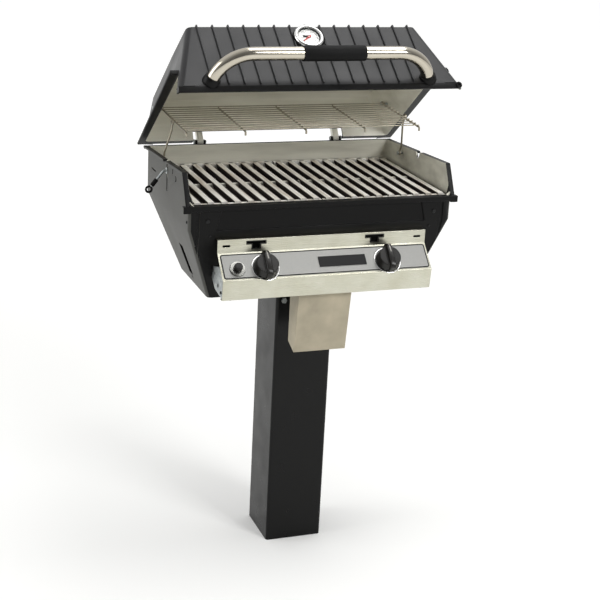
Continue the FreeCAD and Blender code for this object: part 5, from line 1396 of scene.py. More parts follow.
@dataclass(frozen=True)
class Grate:
    """One cast cooking grate: flat-topped bars from front to back, two end frames and a cross rib.

    Attributes:
        side: -1 for the left, 1 for the right.
        name: the side's name.
        inner: its inner edge's distance from the middle.
        outer: its outer edge's distance.
        front: its front edge.
        rear: its rear edge.
        top: its bars' top.
        thick: their height.
        count: the number of bars.
        pitch: their spacing.
        bar: a bar's width on top.
        draft: how much a bar narrows on each side to its foot.
        first: the first bar's distance from the inner edge.
        bar_ends: how far a bar's front and rear ends lie inside the grate's.
        end: the end frames' width.
        drop: how far the front frame lies below the bars' top.
        rib: half the cross rib's width, and its drop below the bars' top.
        rib_in: how far the cross rib's ends lie inside the grate's.
        ease: the radius on a bar's top edges.
        corner: the radius on the frames' edges.
    """

    side: int
    name: str
    inner: float = 1.0
    outer: float = 328.0
    front: float = 13.0
    rear: float = 403.0
    top: float = 5.0
    thick: float = 15.0
    count: int = 10
    pitch: float = 33.0
    bar: float = 18.0
    draft: float = 4.0
    first: float = 6.0
    bar_ends: tuple[float, float] = (1.0, 2.0)
    end: float = 13.0
    drop: float = 5.0
    rib: float = 6.0
    rib_in: float = 4.0
    ease: float = 2.4
    corner: float = 2.0

    def beam(self, across: Sequence[float], back: Sequence[float], drop: float) -> bpy.types.Object:
        """Makes a cast beam with rounded corners.

        Args:
            across: its inner and outer ends.
            back: its front and rear faces.
            drop: how far it lies below the bars' top.

        Returns:
            The beam.
        """
        middle = HEAD.point(self.side * sum(across) / 2.0, sum(back) / 2.0, 0.0)
        half_x, half_y = (across[1] - across[0]) / 2.0, (back[1] - back[0]) / 2.0
        shape = Shape().plate(rounded(half_x, half_y, self.corner, 3), self.top - self.thick, self.top - drop)
        return shape.ease(self.corner, 3).put("beam", HEAD.seat(middle, RIGHT, BACK, UP), GRATE_STEEL)

    def build(self, row: Tree) -> None:
        """Makes the grate.

        Args:
            row: the tree that repeats bars.
        """
        low, high = self.top - self.thick, self.top
        corners = [(0.0, high), (self.bar, high), (self.bar - self.draft, low), (self.draft, low)]
        section = bpy.data.meshes.new("section")
        section.from_pydata([(x * MM, -z * MM, 0.0) for x, z in corners], [(0, 1), (1, 2), (2, 3), (3, 0)], [])
        span = self.first + self.pitch * (self.count - 1) + self.bar
        left = self.inner + self.first if self.side > 0 else -self.inner - span
        first = HEAD.point(left, self.front + self.bar_ends[0], 0.0)
        length = (self.rear - self.front - sum(self.bar_ends)) * MM
        bars = row.bake("bars", GRATE_STEEL, section, Count=self.count, First=first,
                        Pitch=RIGHT * (self.pitch * MM), Length=length, Ease=self.ease * MM)
        middle, wide = (self.front + self.rear) / 2.0, (self.inner, self.outer)
        beams = [
            self.beam(wide, (self.front, self.front + self.end), self.drop),
            self.beam(wide, (self.rear - self.end, self.rear), 0.0),
            self.beam((self.inner + self.rib_in, self.outer - self.rib_in), (middle - self.rib, middle + self.rib),
                      self.rib),
        ]
        grate = merged("grate_bars_" + self.name, [bars] + beams)
        grate.modifiers.new("Even shading", "WEIGHTED_NORMAL").keep_sharp = True
        settle(grate, Body.STAND, Slot.BARS, "grate_" + self.name)


@dataclass(frozen=True)
class Handle:
    """The lid's handle: a bent tube and a black sleeve.

    Attributes:
        foot_x: half the distance between its feet.
        foot_along: the feet's height up the lid's panel.
        rise_up: how much higher its bar is than its feet, along the panel.
        rise_out: how far its bar stands out of the panel.
        radius: the tube's radius.
        bend: its bends' radius.
        lean: how far its legs lean in from foot to bar.
        sunk: how far up from the panel the tube starts.
        slack: the collars' and the sleeve's clearance round the tube.
        grip_radius: the sleeve's radius.
        grip_long: its length.
        grip_x: its middle.
    """

    foot_x: float = 274.0
    foot_along: float = 14.0
    rise_up: float = 16.0
    rise_out: float = 70.0
    radius: float = 16.0
    bend: float = 96.0
    lean: float = 26.0
    sunk: float = 6.0
    slack: float = 0.15
    grip_radius: float = 18.5
    grip_long: float = 157.0
    grip_x: float = 15.0

    def foot(self, across: float) -> Vector:
        """Gives a place between the feet, in metres."""
        return HEAD.lid_seat(across, self.foot_along).to_translation()

    def build(self, stock: Tree) -> None:
        """Makes the tube, its collars and the sleeve.

        Args:
            stock: the tree that sweeps round stock.
        """
        up, out = HEAD.lid_axes()
        rise = HEAD.lid_turn().to_3x3() @ ((up * self.rise_up + out * self.rise_out) * MM)
        bore = self.radius + self.slack
        ring = [(bore, -7.0), (21.5, -7.0), (21.0, 3.0), (19.6, 8.6), (18.4, 10.0), (bore, 9.4)]
        route, collars = [], []
        for side, _ in SIDES:
            foot = self.foot(side * self.foot_x)
            corner = self.foot(side * (self.foot_x - self.lean)) + rise
            leg = (corner - foot).normalized()
            route += [foot + leg * self.sunk * MM, corner][::-side]
            around = leg.cross(RIGHT).normalized()
            seat = HEAD.seat(foot, around.cross(leg), around, leg)
            collars.append(Shape().lathe(ring, 48, closed=True).put("collar", seat, CAST_PAINT))
        settle(merged("handle_collars", collars), Body.LID, Slot.CASTING, "handle_sockets")
        size = {"Radius": self.radius * MM, "Bend": self.bend * MM, "Sides": 48, "Steps": 14}
        tube = stock.bake("handle_tube_polished", POLISHED, polyline([route]), **size)
        settle(tube, Body.LID, Slot.BRUSHED, "handle_tube")
        up = rise.normalized()
        seat = HEAD.seat(self.foot(self.grip_x) + rise, RIGHT.cross(up), up, RIGHT)
        half, radius = self.grip_long / 2.0, self.grip_radius
        outline = [
            (bore, -half + 0.6), (radius - 1.6, -half), (radius - 0.5, -half + 0.5), (radius, -half + 1.8),
            (radius, half - 1.8), (radius - 0.5, half - 0.5), (radius - 1.6, half), (bore, half - 0.6),
        ]
        grip = Shape().lathe(outline, 48, closed=True).put("handle_grip_sleeve", seat, RUBBER)
        settle(grip, Body.LID, Slot.RUBBER, "handle_grip")


@dataclass(frozen=True)
class Rack:
    """The wire warming rack and the two arms that tie it to the box.

    Attributes:
        pivot: its pivot, back and up.
        tilt: how far it slopes down to the front, in degrees.
        half: half the distance between its side wires.
        start: where its side wires leave their eyes.
        deep: its side wires' length.
        wire: the thick wire's radius.
        bend: the thick wires' bends' radius.
        thin: the thin wire's radius.
        over: how far the thin wires reach past the side wires' middles, both ends together.
        rise: how high the thin wires' centres lie over the thick ones'.
        count: the number of thin wires.
        first: the first thin wire's distance from the pivot.
        last: the last one's distance.
        cross: where the inner thick wires are.
        hook: how far the front ends turn down.
        eye: the rack's eyes and the arms' lower ones: bore's and outer radius.
        arm_eye: the arms' upper eyes: bore's and outer radius.
        link: the arms' pins, along the side wires.
        link_reach: how far out these pins go.
        pin: their radius.
        arm_foot: the arms' lower pivot, back and up.
        arm_foot_x: its distance from the middle.
        arm_top_x: the arms' upper end's distance from the middle.
        arm_bend: the arms' bends' radius.
        arm_run: from the lower eye: where an arm starts and bends, and from the upper eye: where it bends and stops.
    """

    pivot: tuple[float, float] = (396.0, 153.6)
    tilt: float = 3.05
    half: float = 305.0
    start: float = 4.5
    deep: float = 246.0
    wire: float = 2.5
    bend: float = 4.0
    thin: float = 1.5
    over: float = 6.0
    rise: float = 3.9
    count: int = 12
    first: float = 12.0
    last: float = 238.0
    cross: float = 157.0
    hook: float = 9.0
    eye: tuple[float, float] = (3.1, 6.5)
    arm_eye: tuple[float, float] = (3.7, 7.5)
    link: float = 138.0
    link_reach: float = 316.0
    pin: float = 2.3
    arm_foot: tuple[float, float] = (300.0, 40.0)
    arm_foot_x: float = 322.5
    arm_top_x: float = 311.5
    arm_bend: float = 14.0
    arm_run: tuple[float, float, float, float] = (4.5, 26.0, 26.0, 5.5)

    def point(self, across: float, along: float, rise: float = 0.0) -> Vector:
        """Gives a point of the rack.

        Args:
            across: from the middle, in millimetres.
            along: from the pivot towards the front.
            rise: above the thick wires' centres.

        Returns:
            The point, in metres.
        """
        angle = math.radians(self.tilt)
        way = Vector((0.0, -math.cos(angle), -math.sin(angle)))
        top = Vector((0.0, -math.sin(angle), math.cos(angle)))
        return HEAD.point(across, *self.pivot) + (way * along + top * rise) * MM

    def eye_ring(self, centre: Vector, hole: float, radius: float) -> bpy.types.Object:
        """Makes a flattened eye at a wire's end.

        Args:
            centre: the eye's middle, in metres.
            hole: its bore's radius in millimetres.
            radius: its outer radius in millimetres.

        Returns:
            The eye.
        """
        outline = [(hole, -2.0), (radius - 0.6, -2.2), (radius, -1.6), (radius, 1.6), (radius - 0.6, 2.2), (hole, 2.0)]
        return Shape().lathe(outline, 32, closed=True).put("eye", HEAD.seat(centre, BACK, UP, RIGHT), CHROME)

    def build(self, stock: Tree, row: Tree) -> None:
        """Makes the rack and both arms.

        Args:
            stock: the tree that sweeps round stock.
            row: the tree that lays equal wires.
        """
        starts = [(side * self.half, self.start) for side, _ in SIDES]
        starts += [(across, self.first) for across in (-self.cross, 0.0, self.cross)]
        runs = [[self.point(x, start), self.point(x, self.deep), self.point(x, self.deep, -self.hook)]
                for x, start in starts]
        pins = [[self.point(side * (self.half - 1.0), self.link), self.point(side * self.link_reach, self.link)]
                for side, _ in SIDES]
        thick = stock.bake("thick", CHROME, polyline(runs), Radius=self.wire * MM, Bend=self.bend * MM)
        ends = stock.bake("ends", CHROME, polyline(pins), Radius=self.pin * MM)
        step = (self.last - self.first) / (self.count - 1)
        first = self.point(0.0, self.first, self.rise)
        pitch = self.point(0.0, self.first + step, self.rise) - first
        thin = row.bake("thin", CHROME, Count=self.count, First=first, Pitch=pitch,
                        Length=(2.0 * self.half + self.over) * MM, Radius=self.thin * MM)
        eyes = [self.eye_ring(self.point(side * self.half, 0.0), *self.eye) for side, _ in SIDES]
        settle(merged("warming_rack_wires", [thick, ends, thin] + eyes), Body.RACK, Slot.CHROME, "warming_rack")
        for side, name in SIDES:
            self.build_arm(side, name, stock)

    def build_arm(self, side: int, name: str, stock: Tree) -> None:
        """Makes one arm.

        Args:
            side: -1 for the left, 1 for the right.
            name: the side's name.
            stock: the tree that sweeps round stock.
        """
        foot = HEAD.point(side * self.arm_foot_x, *self.arm_foot)
        link = self.point(0.0, self.link)
        top = Vector((side * self.arm_top_x * MM, link.y, link.z))
        way = Vector((0.0, top.y - foot.y, top.z - foot.z)).normalized() * MM
        start, low, high, stop = self.arm_run
        route = [foot + way * start, foot + way * low, top - way * high, top - way * stop]
        wire = stock.bake("arm", CHROME, polyline([route]), Radius=self.wire * MM, Bend=self.arm_bend * MM)
        eyes = [self.eye_ring(foot, *self.eye), self.eye_ring(top, *self.arm_eye)]
        settle(merged("rack_arm_wire_" + name, [wire] + eyes), Body.ARMS, Slot.CHROME, "rack_arm_" + name)


@dataclass(frozen=True)
class SideLever:
    """The small bent lever through the left wall's slot, with a black sleeve and a finger ring.

    Attributes:
        back: its slot's place.
        up: its height in the wall at rest.
        inner: its inner end's distance from the middle.
        knee: its bend's distance from the middle.
        end: its lower end's distance from the middle.
        end_up: that end's height.
        radius: the wire's radius.
        bend: its bend's radius.
        neck: the radius of the neck below the sleeve, and its length.
        ring: the finger ring's radius.
        ring_drop: how far below the wire's end the ring's near edge lies.
        ring_wire: the ring's wire's radius.
        sleeve_up: how far above the wire's end the sleeve starts.
        washers: the two washers' places.
    """

    back: float = 206.0
    up: float = 37.0
    inner: float = 329.8
    knee: float = 346.0
    end: float = 374.0
    end_up: float = 2.0
    radius: float = 3.0
    bend: float = 9.0
    neck: tuple[float, float] = (2.4, 7.5)
    ring: float = 7.2
    ring_drop: float = 6.0
    ring_wire: float = 2.7
    sleeve_up: float = 18.0
    washers: tuple[float, float] = (338.3, 330.7)

    def build(self, stock: Tree) -> None:
        """Makes the lever, its washers, ring and sleeve.

        Args:
            stock: the tree that sweeps round stock.
        """
        inner, knee = (HEAD.point(-across, self.back, self.up) for across in (self.inner, self.knee))
        end = HEAD.point(-self.end, self.back, self.end_up)
        way = (end - knee).normalized()
        thin, long = self.neck
        neck = polyline([[end - way * MM, end + way * long * MM]])
        parts = [
            stock.bake("shaft", ZINC, polyline([[inner, knee, end]]), Radius=self.radius * MM, Bend=self.bend * MM),
            stock.bake("neck", ZINC, neck, Radius=thin * MM, Bend=MM),
        ]
        centre = end + way * (self.ring + self.ring_drop) * MM
        loop = [(self.ring + self.ring_wire * math.cos(a), self.ring_wire * math.sin(a))
                for a in (math.radians(30 * i) for i in range(12))]
        ring = Shape().lathe(loop, 40, closed=True)
        settle(ring.put("side_lever_ring", HEAD.seat(centre, RIGHT, -UP, BACK), RUBBER), Body.LEVER, Slot.RUBBER)
        disc = [(2.4, -1.0), (7.7, -1.0), (8.0, -0.7), (8.0, 0.7), (7.7, 1.0), (2.4, 1.0)]
        for place in self.washers:
            seat = HEAD.seat(HEAD.point(-place, self.back, self.up), BACK, UP, RIGHT)
            parts.append(Shape().lathe(disc, 32, closed=True).put("washer", seat, ZINC))
        settle(merged("side_lever_wire", parts), Body.LEVER, Slot.ZINC, "side_lever")
        sleeve = [(3.05, 0.3), (4.9, 0.0), (5.5, 0.7), (5.5, 19.3), (4.9, 20.0), (3.05, 19.7)]
        seat = HEAD.seat(end - way * self.sleeve_up * MM, BACK, way.cross(BACK), way)
        grip = Shape().lathe(sleeve, 32, closed=True).put("side_lever_sleeve", seat, RUBBER)
        settle(grip, Body.LEVER, Slot.RUBBER, "side_lever_grip")


@dataclass(frozen=True)
class Thermometer:
    """The lid's thermometer: case, printed scale and numbers.

    Attributes:
        along: its height up the lid's panel.
        radius: the case's radius.
        high: how far it stands out.
        face: the bezel's inner edge's radius.
        dial_top: the dial plate's upper face.
        scale: the scale's radius.
        ticks: the number of ticks on it.
        tick: a tick's size.
        figures: the numbers' radius and size.
        band: the printed bands' outer and inner radius.
        bar: half the bare bar's width and height, and its place right and up.
        first: where the scale starts, in degrees from the dial's right, anticlockwise.
        sweep: its sweep, clockwise.
    """

    along: float = 150.0
    radius: float = 38.0
    high: float = 12.0
    face: float = 28.0
    dial_top: float = 4.4
    scale: float = 25.5
    ticks: int = 33
    tick: tuple[float, float, float] = (1.5, 0.3, 0.08)
    figures: tuple[float, float] = (17.6, 4.2)
    band: tuple[float, float] = (22.6, 21.4)
    bar: tuple[float, float, float, float] = (10.0, 4.0, -4.0, 3.0)
    first: float = 218.0
    sweep: float = -256.0

    def seat(self) -> Matrix:
        """Gives the seat of a shape drawn on the dial."""
        return HEAD.lid_seat(0.0, self.along)

    def build(self, tree: Tree) -> None:
        """Makes the case and what is printed on the dial.

        Args:
            tree: the tree that prints ticks.
        """
        edge, top, face, dial = self.radius, self.high, self.face, self.dial_top
        case = [
            (4.8, 0.05), (edge, 0.05), (edge, top - 7.0), (edge - 0.4, top - 4.6), (edge - 1.6, top - 2.4),
            (edge - 3.2, top - 0.9), (edge - 5.0, top - 0.1), (edge - 6.2, top), (edge - 7.2, top - 0.4),
            (face, top - 1.9), (face + 0.4, top - 2.05), (edge - 3.0, top - 2.0), (edge - 3.0, 1.6), (4.8, 1.6),
        ]
        # A black ring printed round the bezel's inner edge: painted shadow of the bezel on the dial.
        shade = [(face - 1.6, dial - 0.02), (face + 4.0, dial - 0.02), (face + 4.0, dial + 0.12),
                 (face - 1.6, dial + 0.12)]
        # A black ring round the case's foot: painted shadow of the case on the lid.
        foot_shadow = [(edge - 2.0, 0.02), (edge + 1.8, 0.02), (edge + 1.6, 1.4), (edge + 0.1, 1.7), (edge - 2.0, 1.6)]
        ring = Shape().lathe(case, 96, closed=True).put("thermometer_bezel", self.seat(), BEZEL, 50.0)
        settle(ring, Body.LID, Slot.CHROME, "thermometer_case")
        start, sweep = math.radians(self.first), math.radians(self.sweep)
        marks = tree.bake("thermometer_ticks", FINE_INK, Count=self.ticks, Radius=self.scale, Start=start,
                          Sweep=sweep, Tick=self.tick, Height=dial + 0.02)
        marks.data.transform(self.seat())
        settle(marks, Body.LID, Slot.DIAL)
        for name, profile, finish, slot in (("thermometer_dark_rim", shade, INK, Slot.DIAL),
                                            ("thermometer_gasket", foot_shadow, RUBBER, Slot.RUBBER)):
            settle(Shape().lathe(profile, 96, closed=True).put(name, self.seat(), finish), Body.LID, slot)
        self.arc("thermometer_warm_band", 0.30, 0.62, FINE_INK)
        # The hot band is printed in black ink where the case's shadow falls on the dial: print, and painted shadow.
        self.arc("thermometer_hot_band", 0.64, 0.92, INK)
        self.numbers()
        half_x, half_y, right, up = self.bar
        bar = Shape().plate(rounded(half_x, half_y, 0.6, 3), dial, dial + 0.1)
        bar = bar.put("thermometer_bare_bar", self.seat() @ Matrix.Translation((right, up, 0.0)), INK)
        settle(bar, Body.LID, Slot.DIAL)
        self.needle()

    def needle(self) -> None:
        """Makes the pointer with its hub."""
        turn = self.seat() @ Matrix.Rotation(math.radians(self.first - 90.0), 4, "Z")
        blade = [(-2.0, -8.0), (2.0, -8.0), (2.4, 0.0), (0.9, 21.0), (-0.9, 21.0), (-2.4, 0.0)]
        arm = Shape().plate(blade, 5.5, 6.2).put("blade", turn, RED)
        profile = [(1.35, 5.2), (3.4, 5.2), (3.6, 5.5), (3.3, 6.5), (2.4, 6.9), (1.35, 6.9)]
        hub = Shape().lathe(profile, 28, closed=True).put("hub", turn, RED)
        settle(merged("thermometer_pointer", [arm, hub]), Body.NEEDLE, Slot.RED, "thermometer_needle")

    def arc(self, name: str, start: float, stop: float, finish: Finish, steps: int = 24) -> None:
        """Prints an arc inside the scale.

        Args:
            name: the arc's name.
            start: where it starts, as a share of the sweep.
            stop: where it stops.
            finish: its ink.
            steps: the number of its flats.
        """
        angles = [math.radians(self.first + self.sweep * (start + (stop - start) * i / steps))
                  for i in range(steps + 1)]
        outer, inner = ([(radius * math.cos(a), radius * math.sin(a)) for a in angles] for radius in self.band)
        arc = Shape().plate(outer + inner[::-1], self.dial_top, self.dial_top + 0.06)
        settle(arc.put(name, self.seat(), finish), Body.LID, Slot.DIAL)

    def numbers(self) -> None:
        """Prints the scale's numbers, every fifty degrees."""
        parts, values = [], range(50, 451, 50)
        radius, size = self.figures
        for index, value in enumerate(values):
            angle = math.radians(self.first + self.sweep * index / (len(values) - 1))
            curve = bpy.data.curves.new("number", "FONT")
            curve.body, curve.size, curve.extrude = str(value), size, 0.03
            curve.align_x, curve.align_y = "CENTER", "CENTER"
            text = linked("number", curve)
            bpy.context.view_layer.update()
            mesh = bpy.data.meshes.new_from_object(text)
            bpy.data.objects.remove(text)
            place = Matrix.Translation((radius * math.cos(angle), radius * math.sin(angle), self.dial_top + 0.05))
            mesh.transform(self.seat() @ place)
            parts.append(PALETTE.dress(linked("number", mesh), FINE_INK))
        settle(merged("thermometer_numbers", parts), Body.LID, Slot.DIAL)


@dataclass(frozen=True)
class Fascia:
    """The control panel's face: plate, border line, bare label, knob rings and black slot rims.

    Attributes:
        half: half the plate's width.
        top: how far its upper edge lies above the controls' line.
        foot: how far its lower edge lies below that line.
        corner: its corners' radius.
        thick: its thickness.
        knob_x: the knobs' distance from the middle.
        knob_hole: the hole round a knob's stem.
        igniter: the igniter's place and its hole's radius.
        margin: the border line's distance from the plate's edge.
        line: its width.
        label: the bare label's place, across and up.
        slots: the air slots' places across the panel.
        slot_up: the height that they are drawn from.
    """

    half: float = 264.0
    top: float = 40.5
    foot: float = 25.5
    corner: float = 7.0
    thick: float = 1.0
    knob_x: float = 157.0
    knob_hole: float = 12.0
    igniter: tuple[float, float] = (-227.0, 11.6)
    margin: float = 0.5
    line: float = 2.6
    label: tuple[float, float] = (39.5, 6.5)
    slots: tuple[float, float] = (-172.0, 132.0)
    slot_up: float = -82.0

    def seat(self, across: float, up: float = 0.0) -> Matrix:
        """Gives the seat of a shape that stands on the plate."""
        return HEAD.control_seat(across) @ Matrix.Translation((0.0, up, self.thick))

    def build(self) -> None:
        """Makes the plate and what is fixed on it."""
        half_y, middle = (self.top + self.foot) / 2.0, (self.top - self.foot) / 2.0
        under = HEAD.control_seat(0.0) @ Matrix.Translation((0.0, middle, 0.0))
        blank = Shape().plate(rounded(self.half, half_y, self.corner), 0.02, self.thick).put("blank", under)
        cutters = []
        for place, radius in ((-self.knob_x, self.knob_hole), (self.knob_x, self.knob_hole), self.igniter):
            profile = [(0.0, -5.0), (radius, -5.0), (radius, 5.0), (0.0, 5.0)]
            cutters.append(Shape().lathe(profile, 40).put("hole", HEAD.control_seat(place)))
        plate = PALETTE.dress(linked("fascia_plate_satin", carved(blank, cutters)), FASCIA)
        plate.data.shade_flat()
        settle(plate, Body.STAND, Slot.BRUSHED, "fascia_plate")
        outer, inner = (rounded(self.half - inset, half_y - inset, self.corner - inset)
                        for inset in (self.margin, self.margin + self.line))
        border = Shape().frame(outer, inner, -0.1, 0.06).put("fascia_border_line", self.seat(0.0, middle), INK)
        settle(border, Body.STAND, Slot.KNOB)
        rim = Shape().plate(rounded(62.5, 15.5, 2.0), -0.05, 0.5)
        settle(rim.put("bare_plate_rim", self.seat(*self.label), FASCIA), Body.STAND, Slot.BRUSHED)
        face = Shape().plate(rounded(61.3, 14.3, 1.4), 0.4, 0.9)
        settle(face.put("bare_plate_face", self.seat(*self.label), NAME_ENAMEL), Body.STAND, Slot.KNOB)
        ring = [(31.8, -0.05), (34.6, -0.05), (34.6, 0.3), (33.9, 0.55), (32.5, 0.55), (31.8, 0.3)]
        for side, name in SIDES:
            trim = Shape().lathe(ring, 64, closed=True).put("knob_ring_" + name, self.seat(side * self.knob_x), BEZEL)
            settle(trim, Body.STAND, Slot.CHROME)
        self.liners()

    def liners(self) -> None:
        """Makes black rims round the panel's air slots, which widen their dark outline."""
        inner = [(-23, -7), (-23, -12), (-9, -12), (-9, -24), (9, -24), (9, -12), (23, -12), (23, -7)]
        outer = [(-25.2, -4.8), (-25.2, -14.2), (-11.8, -14.2), (-11.8, -26.2), (11.8, -26.2), (11.8, -14.2),
                 (25.2, -14.2), (25.2, -4.8)]
        rims = []
        for across in self.slots:
            seat = HEAD.seat(HEAD.point(across, HEAD.control_bend[0], self.slot_up), RIGHT, UP, -BACK)
            rims.append(Shape().frame(outer, inner, -0.9, 0.8).put("rim", seat, THERMOSET))
        settle(merged("panel_slot_liners", rims), Body.STAND, Slot.KNOB)


@dataclass(frozen=True)
class Screws:
    """Round screw heads with a cross recess on the corner posts and the panel.

    Attributes:
        recess: half the recess's arm and half its width, as shares of the head's radius.
        recess_up: the height that the recess is cut down to, and the cutter's top.
        box: each right-hand head on the firebox: its middle, its outward direction and its radius.
        panel: the same on the panel.
    """

    recess: tuple[float, float] = (0.55, 0.13)
    recess_up: tuple[float, float] = (0.36, 1.2)
    box: tuple[tuple[Point, Point, float], ...] = (
        ((291.0, 0.0, -38.0), (0.0, -1.0, 0.0), 5.0),
        ((283.0, 4.08, -76.0), (0.0, -184.0, -50.0), 3.0),
        ((337.0, 17.0, -42.0), (1.0, 0.0, 0.0), 3.6),
    )
    panel: tuple[tuple[Point, Point, float], ...] = (
        ((267.5, 22.0, -166.0), (1.0, 0.0, 0.0), 4.0),
        ((267.5, -46.0, -200.0), (1.0, 0.0, 0.0), 4.0),
        ((246.0, -50.0, -217.0), (0.0, 0.0, -1.0), 3.6),
    )

    def head(self) -> bpy.types.Object:
        """Makes one head of radius 1 with its recess, drawn round Z.

        Returns:
            The head, which is removed after use.
        """
        profile = [(0.0, -0.02), (1.0, -0.02), (1.0, 0.2), (0.93, 0.36), (0.76, 0.51), (0.5, 0.61), (0.25, 0.65),
                   (0.0, 0.655)]
        dome = Shape().lathe(profile, 28).put("screw_head", Matrix.Identity(4))
        cutters = []
        for x, y in (self.recess, self.recess[::-1]):
            arm = Shape().plate([(-x, -y), (x, -y), (x, y), (-x, y)], *self.recess_up)
            cutters.append(arm.put("recess", Matrix.Identity(4)))
        return linked("screw_head", carved(dome, cutters))

    def drive(self, name: str, node: str, places: Sequence[tuple[Point, Point, float]], tree: Tree) -> None:
        """Drives heads at places on both sides.

        Args:
            name: the set's name.
            node: the node that the set stands for.
            places: each right-hand head's middle, outward direction and radius, in millimetres.
            tree: the tree that places heads.
        """
        head, parts = self.head(), []
        for radius in sorted({size for _, _, size in places}):
            here = [(HEAD.point(side * spot[0], *spot[1:]), Vector((side * out[0], *out[1:])).normalized())
                    for side, _ in SIDES for spot, out, size in places if size == radius]
            points = bpy.data.meshes.new("points")
            points.from_pydata([spot for spot, _ in here], [], [])
            facing = points.attributes.new("facing", "FLOAT_VECTOR", "POINT")
            facing.data.foreach_set("vector", [c for _, out in here for c in out])
            parts.append(tree.bake("heads", SCREW_STEEL, points, Head=head, Size=radius * MM))
        bpy.data.objects.remove(head)
        settle(merged(name, parts), Body.STAND, Slot.ZINC, node)

    def build(self, tree: Tree) -> None:
        """Makes both sets with the tree that places heads."""
        self.drive("firebox_screw_heads", "firebox_screws", self.box, tree)
        self.drive("panel_screw_heads", "panel_screws", self.panel, tree)


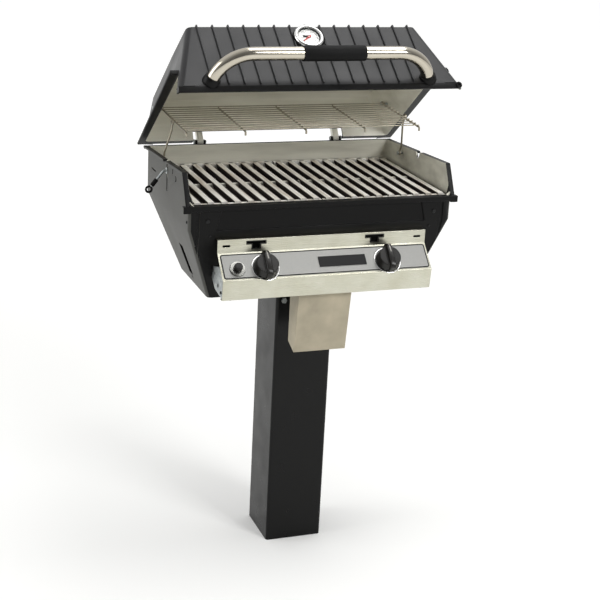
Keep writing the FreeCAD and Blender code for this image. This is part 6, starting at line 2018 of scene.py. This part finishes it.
@dataclass(frozen=True)
class Studio:
    """A pale floor, soft lamps and the photograph's camera.

    Attributes:
        place: the camera's place, in metres.
        right: its right-hand direction.
        up: its upward direction.
        back: the direction behind it.
        lens: its lens on the sensor's width.
        sensor: that width.
        far: how far it sees, in metres.
        floor_half: half the floor's side.
        aim: what the lamps look at.
        lamps: each lamp's name, place, size and power.
    """

    place: tuple[float, float, float] = (-1.18957, -3.21295, 1.79887)
    right: tuple[float, float, float] = (0.94083, -0.33546, 0.04796)
    up: tuple[float, float, float] = (0.06443, 0.31603, 0.94656)
    back: tuple[float, float, float] = (-0.33269, -0.88746, 0.31894)
    lens: float = 83.946
    sensor: float = 36.0
    far: float = 200.0
    floor_half: float = 30.0
    aim: tuple[float, float, float] = (0.0, 0.0, 0.95)
    lamps: tuple[tuple[str, Point, tuple[float, float], float], ...] = (
        ("left softbox", (-3.2, 0.4, 2.0), (2.0, 2.6), 45.0),
        ("top softbox", (0.8, 0.0, 3.6), (2.0, 1.6), 40.0),
        ("front softbox", (1.6, -3.2, 2.9), (1.3, 1.3), 75.0),
    )

    def camera(self) -> None:
        """Sets up the camera."""
        data = bpy.data.cameras.new("camera")
        data.lens, data.sensor_width, data.clip_end = self.lens, self.sensor, self.far
        camera = linked("camera", data)
        turn = Matrix((Vector(self.right), Vector(self.up), Vector(self.back))).transposed().to_4x4()
        camera.matrix_world = Matrix.Translation(self.place) @ turn
        bpy.context.scene.camera = camera

    def floor(self) -> None:
        """Lays the floor, which reads white to the camera and keeps the post's shadow."""
        material = bpy.data.materials.new("pale floor")
        material.use_nodes = True
        tree = material.node_tree
        tree.nodes.clear()
        paint = add(tree, "ShaderNodeBsdfDiffuse", {"Color": linear("#e9e9e7")})
        spot = add(tree, "ShaderNodeTexCoord").outputs["Object"]
        far = add(tree, "ShaderNodeVectorMath", (spot,), operation="LENGTH")
        level = add(tree, "ShaderNodeMapRange", (far, 0.8, 4.5, 0.12, 0.5))
        glow = add(tree, "ShaderNodeEmission", {"Color": WHITE, "Strength": level})
        both = add(tree, "ShaderNodeAddShader", (paint, glow))
        path = add(tree, "ShaderNodeLightPath").outputs
        rays = (path["Is Camera Ray"], path["Is Glossy Ray"])
        seen = add(tree, "ShaderNodeMath", rays, operation="ADD", use_clamp=True)
        mix = add(tree, "ShaderNodeMixShader", (seen, paint, both))
        add(tree, "ShaderNodeOutputMaterial", {"Surface": mix})
        mesh = bpy.data.meshes.new("floor")
        half = self.floor_half
        mesh.from_pydata([(-half, -half, 0), (half, -half, 0), (half, half, 0), (-half, half, 0)], [], [(0, 1, 2, 3)])
        mesh.materials.append(material)
        linked("floor", mesh)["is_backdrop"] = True

    def world(self) -> None:
        """Sets the soft room light: bright above and to the left, dimmer behind the camera."""
        world = bpy.data.worlds.new("studio")
        world.use_nodes = True
        tree = world.node_tree
        tree.nodes.clear()
        way = add(tree, "ShaderNodeTexCoord").outputs["Generated"]
        height = add(tree, "ShaderNodeSeparateXYZ", (way,)).outputs
        rise = add(tree, "ShaderNodeMapRange", (height[2], -0.1, 0.9, 0.6, 0.8))
        behind = add(tree, "ShaderNodeMapRange", (height[1], -0.75, 0.3, 0.28, 1.15))
        level = add(tree, "ShaderNodeMath", (rise, behind), operation="MULTIPLY")
        soft, white = (add(tree, "ShaderNodeBackground", {"Color": WHITE, "Strength": much}) for much in (level, 1.0))
        path = add(tree, "ShaderNodeLightPath").outputs
        mix = add(tree, "ShaderNodeMixShader", (path["Is Camera Ray"], soft, white))
        add(tree, "ShaderNodeOutputWorld", {"Surface": mix})
        bpy.context.scene.world = world

    def lamp(self, name: str, place: Point, size: tuple[float, float], watts: float) -> None:
        """Hangs a softbox.

        Args:
            name: its name.
            place: where it hangs.
            size: its width and height.
            watts: its power.
        """
        data = bpy.data.lights.new(name, "AREA")
        data.shape, data.size, data.size_y, data.energy = "RECTANGLE", *size, watts
        look = (Vector(self.aim) - Vector(place)).to_track_quat("-Z", "Y")
        linked(name, data).matrix_world = Matrix.Translation(place) @ look.to_matrix().to_4x4()

    def build(self) -> None:
        """Sets up camera, floor, world and lamps, and the plain view of colours."""
        bpy.context.scene.view_settings.view_transform = "Standard"
        self.camera()
        self.floor()
        self.world()
        for lamp in self.lamps:
            self.lamp(*lamp)


EASED = (
    EasedPiece("saddle", 1.0, POWDER),
    EasedPiece("post", 0.8, POWDER),
    EasedPiece("gas_line_cover", 0.4, TAUPE),
    EasedPiece("control_panel", 0.5, BRUSHED),
    EasedPiece("hinge_brackets", 1.0, CAST_PAINT),
    EasedPiece("lid_hinge_lugs", 1.0, LIT_LID_BARE),
    EasedPiece("igniter_body", 0.8, CHROMED_NUT),
    EasedPiece("igniter_button", 0.8, THERMOSET),
    EasedPiece("knob_left", 1.4, THERMOSET, steps=3),
    EasedPiece("knob_right", 1.4, THERMOSET, steps=3),
)


def main() -> None:
    """Builds and dresses the barbecue, in order, and sets the stage."""
    PALETTE.dress_nodes()
    stock, row, bars, ticks, heads = bent_stock(), wire_row(), bar_row(), arc_ticks(), screw_set()
    BoxCasting("firebox", 1.4, CAST_PAINT).build(CAST_BARE, LIT_SIDE_PAINT)
    LidCasting("lid", 1.2, LIT_LID_PAINT).build(LIT_LID_BARE, CAST_PAINT)
    LidTrim().build()
    for piece in EASED:
        piece.build()
    for side in SIDES:
        Grate(*side).build(bars)
    Handle().build(stock)
    Rack().build(stock, row)
    SideLever().build(stock)
    Thermometer().build(ticks)
    Fascia().build()
    Screws().build(heads)
    Studio().build()
    boxes = {name: [list(corner) for corner in box] for name, box in (("cad", CAD_BOX), ("visual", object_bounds()))}


if __name__ == "__main__":
    logging.basicConfig(level=logging.INFO, format="%(message)s")
    main()
